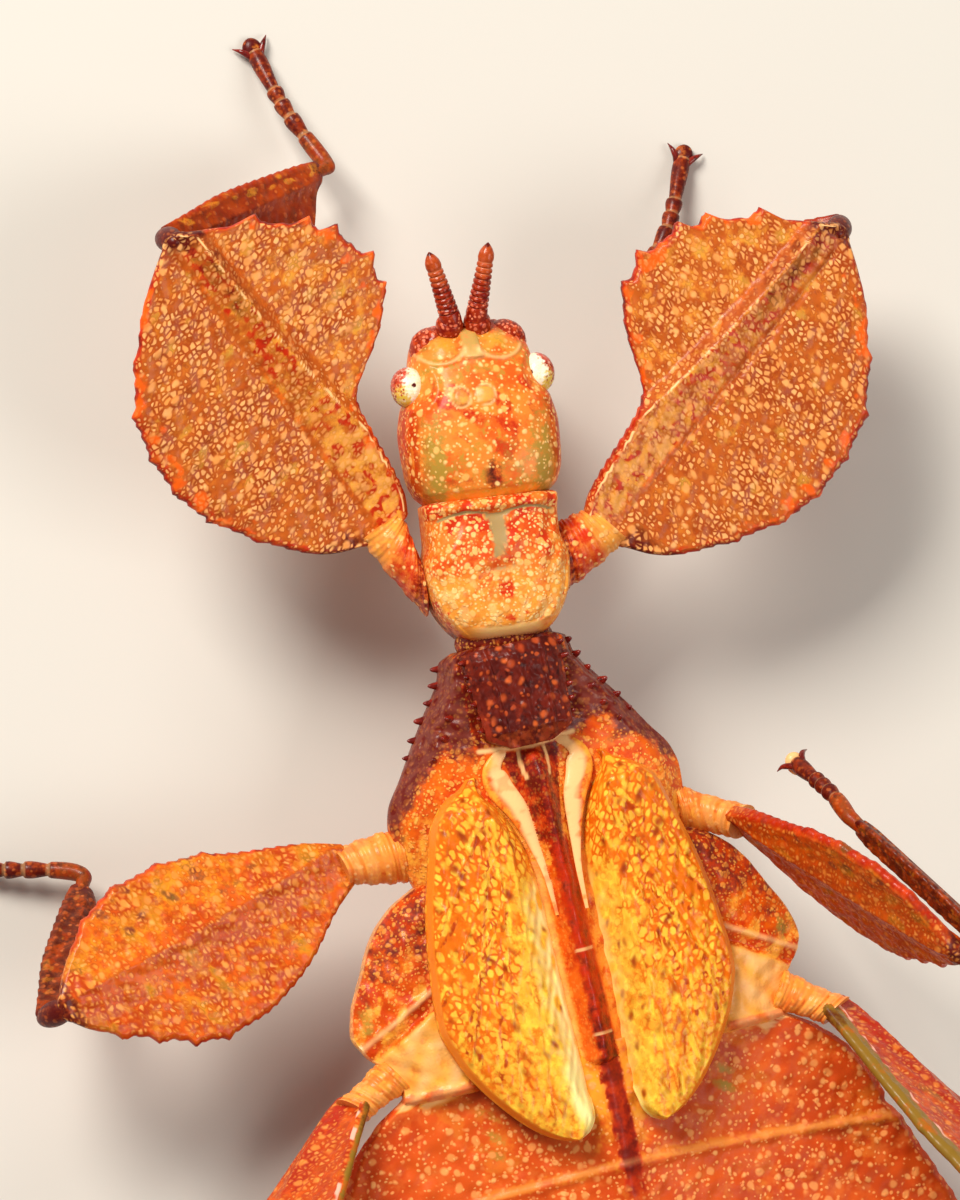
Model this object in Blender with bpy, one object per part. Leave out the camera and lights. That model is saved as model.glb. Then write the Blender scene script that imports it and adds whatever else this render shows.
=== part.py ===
"""A leaf insect as a still, life-size model: a nearly grown female with wing pads.

Lengths are millimetres in the body's own frame and become metres when a mesh is made.
The head looks along -Y, the tail along +Y, the insect's left side is +X and the floor is z = 0.
"""

import math

import bmesh
import bpy
import numpy as np

MM = 0.001
GAP = 0.3
MIDDLE = (1.1, 11.5)

NECK = np.array([-0.08, -3.5, 0.0])
HEAD_YAW = math.radians(6.0)

BACK_TOP = 7.3
BACK_FALL = 0.02
BELLY = 3.5

PAD_THICK = 0.55
LOBE_HALF = 0.27


def unit(vector):
    vector = np.asarray(vector, float)
    return vector / np.linalg.norm(vector)


def smooth(knots, place):
    """A smooth line through (place, value) knots that never overshoots them."""
    x, y = np.array(knots, float).T
    slope = np.diff(y) / np.diff(x)
    tangent = np.concatenate([slope[:1], np.zeros(len(x) - 2), slope[-1:]])
    rising = slope[:-1] * slope[1:] > 0
    total = np.where(rising, slope[:-1] + slope[1:], 1.0)
    tangent[1:-1] = np.where(rising, 2 * slope[:-1] * slope[1:] / total, 0.0)
    place = np.clip(place, x[0], x[-1])
    i = np.clip(np.searchsorted(x, place, side="right") - 1, 0, len(x) - 2)
    step = x[i + 1] - x[i]
    t = (place - x[i]) / step
    start = (2 * t**3 - 3 * t**2 + 1) * y[i] + (t**3 - 2 * t**2 + t) * step * tangent[i]
    end = (3 * t**2 - 2 * t**3) * y[i + 1] + (t**3 - t**2) * step * tangent[i + 1]
    return start + end


def from_head(point):
    """A point of the head's own frame, turned with the neck, in the body's frame."""
    x, y, z = point
    c, s = math.cos(HEAD_YAW), math.sin(HEAD_YAW)
    return NECK + np.array([x * c + y * s, y * c - x * s, z])


def loft(rings, upper):
    """Points and faces of a closed skin over rings; `upper` quads of each ring are its top side."""
    count = len(rings[0])
    points = [point for ring in rings for point in ring]
    faces = []
    for i in range(len(rings) - 1):
        for j in range(count):
            k = (j + 1) % count
            a, b = i * count + j, i * count + k
            c, d = a + count, b + count
            if j < upper:
                faces += [(a, b, d), (a, d, c)]
            else:
                faces += [(a, b, c), (b, d, c)]
    faces.append(tuple(range(count - 1, -1, -1)))
    faces.append(tuple(range(len(points) - count, len(points))))
    return points, faces


def oval(centre, wide, high, sides, power=2.0):
    """A closed ring round a centre, with its two half axes given as vectors."""
    ring = []
    for i in range(sides):
        angle = math.tau * (i + 0.5) / sides
        c, s = math.cos(angle), math.sin(angle)
        c = math.copysign(abs(c) ** (2 / power), c)
        s = math.copysign(abs(s) ** (2 / power), s)
        ring.append(np.asarray(centre, float) + c * np.asarray(wide) + s * np.asarray(high))
    return ring


def tube(path, radii, sides, flat=1.0):
    """A round bar along a path; flat squeezes it along its own up direction."""
    path = np.array(path, float)
    rings = []
    for i, (point, radius) in enumerate(zip(path, radii)):
        along = unit(path[min(i + 1, len(path) - 1)] - path[max(i - 1, 0)])
        side = unit(np.cross([0, 0, 1], along) + 1e-6)
        rings.append(oval(point, side * radius, np.cross(along, side) * radius * flat, sides))
    return loft(rings, sides)


def ball(centre, radii, sides=10, rows=5, turn=0.0):
    """An egg shape on a centre, its long axis turned about Z."""
    c, s = math.cos(turn), math.sin(turn)
    rings = []
    for row in range(rows + 1):
        angle = math.pi * (0.06 + 0.88 * row / rows)
        y, r = -math.cos(angle) * radii[1], math.sin(angle)
        middle = np.asarray(centre, float) + np.array([-y * s, y * c, 0])
        wide = np.array([c, s, 0]) * radii[0] * r
        rings.append(oval(middle, wide, np.array([0, 0, radii[2] * r]), sides))
    return loft(rings, sides)


def spine(root, tip, radius, sides=5):
    """A tapered point from a root that is sunk in its node to a tip."""
    return tube([root, tip], [radius, radius * 0.15], sides)


def slab(stations, fractions, low, high, top, bottom):
    """A plate lofted along Y between two side lines, with its faces given as heights over x and y."""
    rings = []
    for y in stations:
        x = low(y) + (high(y) - low(y)) * np.asarray(fractions)
        over = [np.array([a, y, top(a, y)]) for a in x]
        under = [np.array([a, y, bottom(a, y)]) for a in x]
        for end in (0, -1):
            over[end] = (over[end] + under[end]) / 2
        rings.append(over + under[-2:0:-1])
    return loft(rings, len(fractions) - 1)


def clear_scene():
    for old in list(bpy.data.objects):
        bpy.data.objects.remove(old, do_unlink=True)


def mesh_object(name, shape):
    points, faces = shape
    mesh = bpy.data.meshes.new(name)
    places = np.asarray(points, float) - np.array([MIDDLE[0], MIDDLE[1], 0.0])
    mesh.from_pydata([tuple(p) for p in places * MM], [], faces)
    work = bmesh.new()
    work.from_mesh(mesh)
    bmesh.ops.recalc_face_normals(work, faces=work.faces)
    work.to_mesh(mesh)
    work.free()
    obj = bpy.data.objects.new(name, mesh)
    bpy.context.scene.collection.objects.link(obj)
    return obj


def keep_largest(obj):
    """Keeps only the largest closed surface of a mesh."""
    work = bmesh.new()
    work.from_mesh(obj.data)
    work.verts.ensure_lookup_table()
    left = set(work.verts)
    pieces = []
    while left:
        front = [left.pop()]
        piece = set(front)
        while front:
            for edge in front.pop().link_edges:
                for vert in edge.verts:
                    if vert in left:
                        left.discard(vert)
                        piece.add(vert)
                        front.append(vert)
        pieces.append(piece)
    pieces.sort(key=len)
    for piece in pieces[:-1]:
        bmesh.ops.delete(work, geom=list(piece), context="VERTS")
    work.to_mesh(obj.data)
    work.free()


def boolean(obj, shapes, operation):
    """One Boolean of an object with a collection of closed meshes, applied."""
    group = bpy.data.collections.new("pieces")
    bpy.context.scene.collection.children.link(group)
    for shape in shapes:
        piece = mesh_object("piece", shape)
        bpy.context.scene.collection.objects.unlink(piece)
        group.objects.link(piece)
    modifier = obj.modifiers.new("join", "BOOLEAN")
    modifier.operation = operation
    modifier.solver = "EXACT"
    modifier.operand_type = "COLLECTION"
    modifier.collection = group
    graph = bpy.context.evaluated_depsgraph_get()
    joined = bpy.data.meshes.new_from_object(obj.evaluated_get(graph))
    obj.modifiers.clear()
    obj.data = joined
    for piece in list(group.objects):
        bpy.data.objects.remove(piece, do_unlink=True)
    bpy.data.collections.remove(group)
    keep_largest(obj)


def paint(obj, colour, roughness=0.45):
    material = bpy.data.materials.new(obj.name + "_surface")
    material.use_nodes = True
    shader = material.node_tree.nodes["Principled BSDF"]
    shader.inputs["Base Color"].default_value = (*colour, 1.0)
    shader.inputs["Roughness"].default_value = roughness
    obj.data.materials.clear()
    obj.data.materials.append(material)
    for face in obj.data.polygons:
        face.use_smooth = True


def node(name, shape, colour, added=(), cut=()):
    obj = mesh_object(name, shape)
    if cut:
        boolean(obj, cut, "DIFFERENCE")
    if added:
        boolean(obj, added, "UNION")
    paint(obj, colour)
    return obj


def back(x, y):
    """The height of the thorax and the front of the abdomen, under the wing pads."""
    return BACK_TOP - BACK_FALL * x * x - 0.03 * max(y - 9.0, 0.0) ** 1.3


def keel(x, tall, wide):
    return tall * math.exp(-((x / wide) ** 2))


# Head

HEAD_WIDE = [(-11.15, 1.15), (-10.8, 1.75), (-10.3, 2.05), (-9.6, 2.2), (-8.9, 2.3), (-8.3, 2.62),
             (-7.3, 2.81), (-6.0, 2.75), (-5.3, 2.53), (-4.95, 2.2)]
HEAD_TOP = [(-11.15, 6.7), (-10.6, 7.35), (-9.6, 8.0), (-8.0, 8.5), (-6.5, 8.6), (-5.3, 8.35), (-4.95, 8.05)]
HEAD_UNDER = [(-11.15, 5.4), (-10.5, 4.9), (-9.0, 4.55), (-7.0, 4.4), (-5.3, 4.5), (-4.95, 4.75)]
EYE_PLACE = (2.3, -9.08, 7.0)
EYE_SIZE = (0.62, 0.72, 0.66)


def head_shape(stations=13, sides=20):
    rings = []
    for y in np.linspace(-11.15, -4.95, stations):
        wide = smooth(HEAD_WIDE, y)
        top, under = smooth(HEAD_TOP, y), smooth(HEAD_UNDER, y)
        ring = oval((0, y, (top + under) / 2), (wide, 0, 0), (0, 0, (top - under) / 2), sides, 2.7)
        rings.append([from_head(point) for point in ring])
    return loft(rings, sides)


def in_head(shape):
    points, faces = shape
    return [from_head(point) for point in points], faces


def make_head():
    sockets = []
    bumps = []
    for side in (1, -1):
        x, y, z = EYE_PLACE
        sockets.append(in_head(ball((side * x, y, z), np.array(EYE_SIZE) + GAP)))
        bumps.append(in_head(ball((side * 0.46, -8.5, 8.2), (0.36, 0.4, 0.32), 8, 4)))
        bumps.append(in_head(ball((side * 1.4, -11.0, 6.6), (0.6, 0.62, 0.58), 8, 4)))
    bumps.append(in_head(ball((0.08, -10.25, 7.45), (0.42, 0.95, 0.4), 8, 4)))
    node("head", head_shape(), (0.75, 0.25, 0.04), bumps, sockets)
    for name, side in (("left", 1), ("right", -1)):
        x, y, z = EYE_PLACE
        node("eye_" + name, in_head(ball((side * x, y, z), EYE_SIZE, 12, 8)), (0.8, 0.65, 0.45))


ANTENNA = [((0.65, -11.4, 7.35), (1.26, -13.65, 8.2)), ((-0.33, -11.45, 7.35), (-0.87, -13.75, 8.2))]


def antenna_shape(start, end, sides=8):
    """Nine beads on a straight line: a broad base, short rings and a long pointed last one."""
    lengths = [0.5, 0.28, 0.22, 0.22, 0.22, 0.24, 0.26, 0.28, 0.8]
    wide = [0.34, 0.33, 0.28, 0.27, 0.26, 0.27, 0.28, 0.29, 0.29]
    ends = np.concatenate([[0], np.cumsum(lengths)]) / sum(lengths)
    path, radii = [], []
    for i, radius in enumerate(wide):
        span = ends[i + 1] - ends[i]
        last = i == len(wide) - 1
        for t, r in ((0.06, 0.86), (0.5, 1.0), (0.94, 0.55 if last else 0.94)):
            path.append(ends[i] + span * t)
            radii.append(radius * r)
    path.append(1.0)
    radii.append(0.08)
    start, end = np.array(start), np.array(end)
    return tube([from_head(start + (end - start) * t) for t in path], radii, sides)


def make_mouth():
    lip = [oval((0, -10.5 - 0.12 * i, 4.25 - 0.42 * i), (0.85 - 0.14 * i, 0, 0), (0, 0.42 - 0.07 * i, 0), 10, 3)
           for i in range(4)]
    lip = loft(lip, 10)
    pieces = []
    for side in (1, -1):
        jaw = [(side * 0.62, -10.22, 4.1), (side * 0.7, -10.3, 3.55), (side * 0.38, -10.42, 3.05)]
        pieces.append(in_head(tube(jaw, [0.4, 0.36, 0.14], 8)))
        palp = [(side * 0.66, -9.8, 3.95), (side * 0.95, -10.15, 3.7), (side * 1.1, -10.55, 3.25),
                (side * 1.0, -10.8, 2.7), (side * 0.85, -10.85, 2.25)]
        pieces.append(in_head(tube(palp, [0.27, 0.26, 0.28, 0.3, 0.2], 8)))
        inner = [(side * 0.37, -9.45, 3.98), (side * 0.52, -9.62, 3.3), (side * 0.5, -9.9, 2.65)]
        pieces.append(in_head(tube(inner, [0.3, 0.27, 0.2], 8)))
    chin = in_head(ball((0, -9.75, 4.02), (0.9, 0.75, 0.26), 10, 4))
    node("mouthparts", in_head(lip), (0.35, 0.07, 0.03), pieces + [chin])


# Thorax

PRONOTUM_WIDE = [(-4.62, 2.28), (-4.3, 2.42), (-3.6, 2.36), (-2.5, 2.62), (-1.7, 2.5), (-1.0, 2.25), (-0.4, 1.85),
                 (-0.1, 1.4)]
PRONOTUM_TOP = [(-4.62, 8.0), (-4.35, 8.35), (-4.05, 8.12), (-3.0, 8.35), (-2.2, 8.25), (-1.0, 8.3), (-0.1, 7.9)]
PRONOTUM_UNDER = [(-4.62, 4.9), (-3.0, 4.2), (-0.1, 4.5)]


def make_prothorax(stations=15, sides=20):
    rings = []
    for y in np.linspace(-4.62, -0.1, stations):
        wide = smooth(PRONOTUM_WIDE, y)
        top, under = smooth(PRONOTUM_TOP, y), smooth(PRONOTUM_UNDER, y)
        ring = oval((0, y, (top + under) / 2), (wide, 0, 0), (0, 0, (top - under) / 2), sides, 3.2)
        rings.append([from_head(point) for point in ring])
    node("prothorax", loft(rings, sides), (0.8, 0.3, 0.05))


MESO_WIDE = [(-3.15, 2.3), (-2.5, 2.48), (-1.4, 3.22), (-0.6, 3.78), (0.5, 4.5), (1.5, 5.15), (2.2, 5.3), (3.0, 5.25),
             (4.1, 4.95)]
META_WIDE = [(4.4, 5.1), (4.8, 5.9), (5.7, 6.8), (7.0, 7.5), (8.0, 8.0), (8.9, 8.2), (9.6, 7.9), (10.3, 7.3),
             (11.1, 6.9)]
PRESCUTUM_END = 0.1
KEEL_TALL = 0.95
BODY_COLUMNS = [0, 0.035, 0.12, 0.24, 0.36, 0.45, 0.475, 0.5, 0.525, 0.55, 0.64, 0.76, 0.88, 0.965, 1]


def body_top(x, y, wide):
    s = min(abs(x) / wide, 1.0)
    shoulder = smooth([(0, 1), (0.8, 0.94), (1, 0.35)], s)
    edge = 5.6
    rise = smooth([(-3.5, 0.35), (-1.0, 0.15), (1.0, 0.0)], y)
    ridge = keel(x, smooth([(0, 0), (1.5, KEEL_TALL), (60, KEEL_TALL)], y), 0.5)
    return edge + (back(x, y) + rise - edge) * shoulder + ridge


def body_bottom(x, y, wide):
    s = min(abs(x) / wide, 1.0)
    return BELLY + (5.2 - BELLY) * smooth([(0, 0), (0.45, 0.12), (0.8, 0.75), (1, 1)], s)


def body_slab(knots, stations, columns=BODY_COLUMNS):
    return slab(
        stations,
        columns,
        lambda y: -smooth(knots, y),
        lambda y: smooth(knots, y),
        lambda x, y: body_top(x, y, smooth(knots, y)),
        lambda x, y: body_bottom(x, y, smooth(knots, y)),
    )


def flank_spines():
    """A row of short spines down each flank of the mesothorax, and its middle row of bumps."""
    rows = []
    for side in (1, -1):
        for y, long in ((-2.75, 0.34), (-2.2, 0.4), (-1.75, 0.42), (-1.2, 0.42), (-0.55, 0.4), (0.15, 0.34),
                        (0.8, 0.26), (1.35, 0.22)):
            x = smooth(MESO_WIDE, y)
            root = np.array([side * (x - 0.45), y + 0.1, 5.9])
            rows.append(spine(root, root + [side * (0.5 + long * 0.75), -0.25, 0.1], 0.2))
    for y in (-2.3, -1.7, -0.75):
        rows.append(spine((-0.05, y + 0.1, 8.1), (-0.05, y - 0.1, 8.95), 0.22))
    return rows


def make_mesothorax():
    stations = [-3.15, -2.8, -2.2, -1.5, -0.8, -0.1, 0.6, 1.3, 1.9, 2.6, 3.4, 4.1]
    columns = [0, 0.15, 0.5, 0.85, 1]
    crest = slab(
        [-3.15, -2.9, -1.9, -0.9, -0.2, 0.15],
        columns,
        lambda y: -smooth([(-3.15, 1.8), (-1, 1.62), (-0.2, 1.55), (0.15, 0.9)], y),
        lambda y: smooth([(-3.15, 1.8), (-1, 1.62), (-0.2, 1.55), (0.15, 0.9)], y),
        lambda x, y: 8.45 - 0.12 * x * x - 0.5 * max(y + 0.2, 0),
        lambda x, y: 6.4,
    )
    arms = []
    for side in (1, -1):
        arm = [(side * 1.15, 0.55, 7.35), (side * 1.95, 1.3, 7.3), (side * 1.35, 2.5, 7.35), (side * 0.62, 3.9, 7.5)]
        arms.append(tube(arm, [0.3, 0.42, 0.36, 0.2], 8, 0.8))
    node("mesothorax", body_slab(MESO_WIDE, stations), (0.45, 0.12, 0.06), [crest] + flank_spines() + arms)


def make_metathorax():
    stations = [4.4, 4.7, 5.2, 5.8, 6.6, 7.4, 8.2, 8.9, 9.6, 10.3, 11.1]
    node("metathorax", body_slab(META_WIDE, stations), (0.75, 0.25, 0.06))


# Wing pads

PAD_OUTER = [(1.3, 2.9), (1.6, 3.4), (2.3, 4.1), (3.6, 4.5), (5.5, 5.0), (6.9, 5.22), (9.2, 5.4), (10.6, 5.0),
             (11.6, 4.4), (12.8, 3.4), (13.7, 2.35), (14.1, 1.7)]
PAD_INNER = [(1.3, 2.4), (1.7, 2.35), (2.6, 1.75), (3.9, 1.1), (4.8, 0.92), (9.0, 0.92), (13.0, 0.98), (13.8, 1.15),
             (14.1, 1.35)]
PAD_COLUMNS = [0, 0.05, 0.16, 0.21, 0.26, 0.42, 0.47, 0.52, 0.68, 0.73, 0.78, 0.94, 1]
PAD_VEINS = (0.21, 0.47, 0.73)
VEIN_TALL = 0.14


def pad_shape(side, stations):
    def inner(y):
        return side * smooth(PAD_INNER, y)

    def outer(y):
        return side * smooth(PAD_OUTER, y)

    def under(x, y):
        wide = abs(outer(y) - inner(y))
        f = abs(x - inner(y)) / wide
        hollow = smooth([(0, 0), (0.3, 0.22), (0.7, 0.2), (1, 0)], f)
        return back(x, y) + GAP + 0.06 + hollow

    def over(x, y):
        f = abs(x - inner(y)) / abs(outer(y) - inner(y))
        vein = max(max(0.0, 1 - abs(f - place) / 0.04) for place in PAD_VEINS)
        return under(x, y) + PAD_THICK + vein * VEIN_TALL

    return slab(stations, PAD_COLUMNS, inner, outer, over, under)


# Abdomen

ABDOMEN_WIDE = [(11.45, 7.0), (12.0, 7.85), (12.6, 8.55), (13.3, 9.15), (14.4, 9.75), (17.0, 10.8), (20.0, 12.0),
                (25.0, 13.4), (30.0, 13.6), (34.5, 12.6), (38.5, 10.7), (40.3, 8.6), (42.6, 6.2), (44.8, 4.1),
                (46.4, 2.7), (47.2, 1.7)]
SEGMENT_ENDS = (15.4, 20.4, 25.6, 30.6, 35.4, 39.6, 42.6, 45.0)
ABDOMEN_DROP = 0.075
ABDOMEN_COLUMNS = [0, 0.03, 0.13, 0.28, 0.4, 0.465, 0.5, 0.535, 0.6, 0.72, 0.87, 0.97, 1]


def abdomen_middle(x, y):
    return 5.75 - ABDOMEN_DROP * (y - 11.45) - 0.0035 * x * x


def segment_line(y):
    """One on each border between two segments, falling to nothing beside it."""
    return max(max(0.0, 1 - abs(y - end) / 0.45) for end in SEGMENT_ENDS)


def abdomen_wide(y):
    return smooth(ABDOMEN_WIDE, y) - 0.22 * segment_line(y)


def abdomen_top(x, y):
    body = 1.15 * math.exp(-((x / 3.6) ** 2)) * smooth([(11.45, 1.15), (40, 0.75), (47.2, 0.35)], y)
    return abdomen_middle(x, y) + 0.34 + body + 0.1 * segment_line(y) + keel(x, 0.35, 0.45)


def abdomen_bottom(x, y):
    body = 1.35 * math.exp(-((x / 3.8) ** 2)) * smooth([(11.45, 1.0), (40, 0.75), (47.2, 0.35)], y)
    return abdomen_middle(x, y) - 0.34 - body


def make_abdomen():
    stations = {11.45, 11.8, 12.4, 13.3, 14.3, 46.0, 46.7, 47.2}
    for end in SEGMENT_ENDS:
        stations |= {end - 0.45, end, end + 0.45}
    for first, last in zip(SEGMENT_ENDS, SEGMENT_ENDS[1:]):
        stations.add((first + last) / 2)
    shape = slab(
        sorted(stations),
        ABDOMEN_COLUMNS,
        lambda y: -abdomen_wide(y),
        abdomen_wide,
        abdomen_top,
        abdomen_bottom,
    )
    node("abdomen", shape, (0.6, 0.15, 0.05))
    for name, side in (("left", 1), ("right", -1)):
        path = [(side * 0.75, 47.5, 2.75), (side * 0.95, 48.1, 2.7), (side * 1.05, 48.9, 2.65), (side * 1.0, 49.5, 2.6)]
        node("cercus_" + name, tube(path, [0.3, 0.42, 0.4, 0.12], 8, 0.7), (0.5, 0.12, 0.05))


# Legs

FORE_BACK = [(0, 1.0), (0.03, 1.9), (0.07, 2.6), (0.16, 3.55), (0.28, 4.55), (0.38, 5.1), (0.48, 5.25), (0.57, 5.15),
             (0.65, 4.9), (0.74, 4.2), (0.83, 3.2), (0.89, 2.5), (0.96, 1.3), (1, 0.62)]
FORE_FRONT = [(0, 0.95), (0.05, 1.25), (0.11, 1.4), (0.29, 1.7), (0.345, 1.95), (0.38, 2.5), (0.42, 3.35), (0.47, 4.2),
              (0.53, 4.75), (0.6, 4.95), (0.68, 4.85), (0.78, 4.15), (0.85, 3.35), (0.91, 2.3), (0.96, 1.35), (1, 0.62)]
FORE_TEETH = ((0.54, 0.3), (0.63, 0.45), (0.755, 0.5), (0.82, 0.5), (0.92, 0.7))
FORE_SAW = ((0.2, 0.15), (0.32, 0.15), (0.44, 0.15), (0.56, 0.15), (0.68, 0.18), (0.8, 0.2))
MID_BACK = [(0, 0.75), (0.09, 1.3), (0.23, 2.45), (0.33, 3.0), (0.45, 3.4), (0.57, 3.45), (0.66, 3.15), (0.76, 2.5),
            (0.88, 1.65), (0.96, 1.0), (1, 0.62)]
MID_FRONT = [(0, 0.75), (0.1, 1.35), (0.29, 2.1), (0.44, 2.75), (0.58, 3.0), (0.7, 2.95), (0.8, 2.55), (0.9, 1.75),
             (0.96, 1.1), (1, 0.62)]
MID_TEETH = ((0.58, 0.25), (0.69, 0.35), (0.8, 0.35), (0.9, 0.35))
MID_SAW = ((0.4, 0.12), (0.55, 0.14), (0.7, 0.14), (0.84, 0.16))
HIND_BACK = [(0, 0.75), (0.12, 1.4), (0.3, 2.4), (0.5, 3.1), (0.65, 3.1), (0.8, 2.4), (0.92, 1.3), (1, 0.62)]
HIND_FRONT = [(0, 0.75), (0.12, 1.3), (0.3, 2.0), (0.5, 2.4), (0.68, 2.3), (0.82, 1.7), (0.93, 1.0), (1, 0.62)]
TIBIA_OUTER = [(0, 0.4), (0.15, 0.5), (0.4, 0.68), (0.7, 0.6), (0.9, 0.5), (1, 0.4)]
FORE_TIBIA_INNER = [(0, 0.4), (0.2, 0.9), (0.45, 1.9), (0.7, 2.5), (0.85, 2.55), (0.92, 1.9), (0.96, 1.0), (1, 0.45)]
TIBIA_INNER = [(0, 0.4), (0.2, 0.6), (0.5, 0.95), (0.8, 1.0), (0.92, 0.75), (1, 0.42)]
SHAFT_HALF = 0.7


def toothed(knots, teeth, spread=1.0, wide=0.045):
    """A side line, spread a little wider or narrower, with saw teeth that lean toward the knee."""
    def line(t):
        bite = 0.0
        for place, tall in teeth:
            lean = (t - place) / (wide * 0.35 if t > place else wide)
            bite = max(bite, tall * max(0.0, 1 - abs(lean)))
        return smooth(knots, t) * spread + bite
    return line


def blade_shape(start, end, side, roll, back_line, front_line, stations, shaft, crest, under, bow=0.0):
    """A flattened leg length: a ridged shaft with a thin lobe on each side."""
    start, end = np.array(start, float), np.array(end, float)
    along = unit(end - start)
    flat = unit(np.cross([0, 0, 1], along)) * side
    up = np.cross(along, flat) * side
    c, s = math.cos(roll), math.sin(roll)
    across, rise = flat * c + up * s, up * c - flat * s
    rings = []
    for t in stations:
        b, f = back_line(t), front_line(t)
        narrow = min(b, f)
        half = min(shaft, narrow * 0.75)
        tall = crest * smooth([(0, 0.8), (0.15, 1), (0.9, 1), (1, 0.75)], t)
        low = under * smooth([(0, 0.9), (0.15, 1), (0.9, 1), (1, 0.85)], t)
        edge = min(LOBE_HALF, tall * 0.7)
        rim_b = max(b - 0.3, half + 0.3 * (b - half))
        rim_f = max(f - 0.3, half + 0.3 * (f - half))
        section = [(b, 0), (rim_b, edge), (half, edge * 1.15), (half * 0.35, tall), (-half * 0.35, tall),
                   (-half, edge * 1.15), (-rim_f, edge), (-f, 0), (-rim_f, -edge), (-half, -edge * 1.15),
                   (-half * 0.35, -low), (half * 0.35, -low), (half, -edge * 1.15), (rim_b, -edge)]
        middle = start + (end - start) * t
        rings.append([middle + across * v + rise * (w - bow * v * v) for v, w in section])
    return loft(rings, 7)


def coxa_shape(first, last, sides=10, steps=6):
    """A short ringed cone between two ovals, each given as centre and two half axes."""
    rings = []
    for i in range(steps + 1):
        t = i / steps
        swell = 1 + 0.1 * math.sin(math.pi * t) - (0.04 if i % 2 else 0)
        centre, wide, high = (np.array(a) * (1 - t) + np.array(b) * t for a, b in zip(first, last))
        rings.append(oval(centre, wide * swell, high * swell, sides))
    return loft(rings, sides)


TARSUS_PARTS = (0.42, 0.12, 0.1, 0.09, 0.27)


def bend(path, t):
    """A place along a path of straight lengths, t from 0 to 1, and the direction there."""
    path = np.array(path, float)
    steps = np.linalg.norm(np.diff(path, axis=0), axis=1)
    marks = np.concatenate([[0], np.cumsum(steps)]) / steps.sum()
    return np.array([np.interp(t, marks, path[:, k]) for k in range(3)])


def tarsus_shapes(path, standing, sides=7):
    """Five foot joints on a bent path, then two hooked claws and the pad between them."""
    ends = np.concatenate([[0], np.cumsum(TARSUS_PARTS)])
    places, radii = [], []
    for i, part in enumerate(TARSUS_PARTS):
        for t, r in ((0.06, 0.25), (0.9, 0.33)):
            places.append(bend(path, ends[i] + part * t))
            radii.append(r)
    shapes = [tube(places, radii, sides)]
    tip, before = bend(path, 1.0), bend(path, 0.9)
    ahead = unit(tip - before)
    if standing:
        ahead = unit([ahead[0], ahead[1], 0])
    side = unit(np.cross([0, 0, 1], ahead))
    up = np.cross(ahead, side)
    for way in (1, -1):
        claw = [tip - ahead * 0.3 + side * way * 0.12, tip + ahead * 0.18 + side * way * 0.36 + up * 0.08,
                tip + ahead * 0.42 + side * way * 0.68 - up * 0.12]
        shapes.append(tube(claw, [0.15, 0.13, 0.03], 5))
    turn = math.atan2(-ahead[0], ahead[1])
    shapes.append(ball(tip + ahead * 0.12 - up * 0.08, (0.36, 0.44, 0.22), 8, 4, turn))
    if standing:
        shapes = [([np.array([p[0], p[1], max(p[2], 0.0)]) for p in points], faces) for points, faces in shapes]
    return shapes


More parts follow.
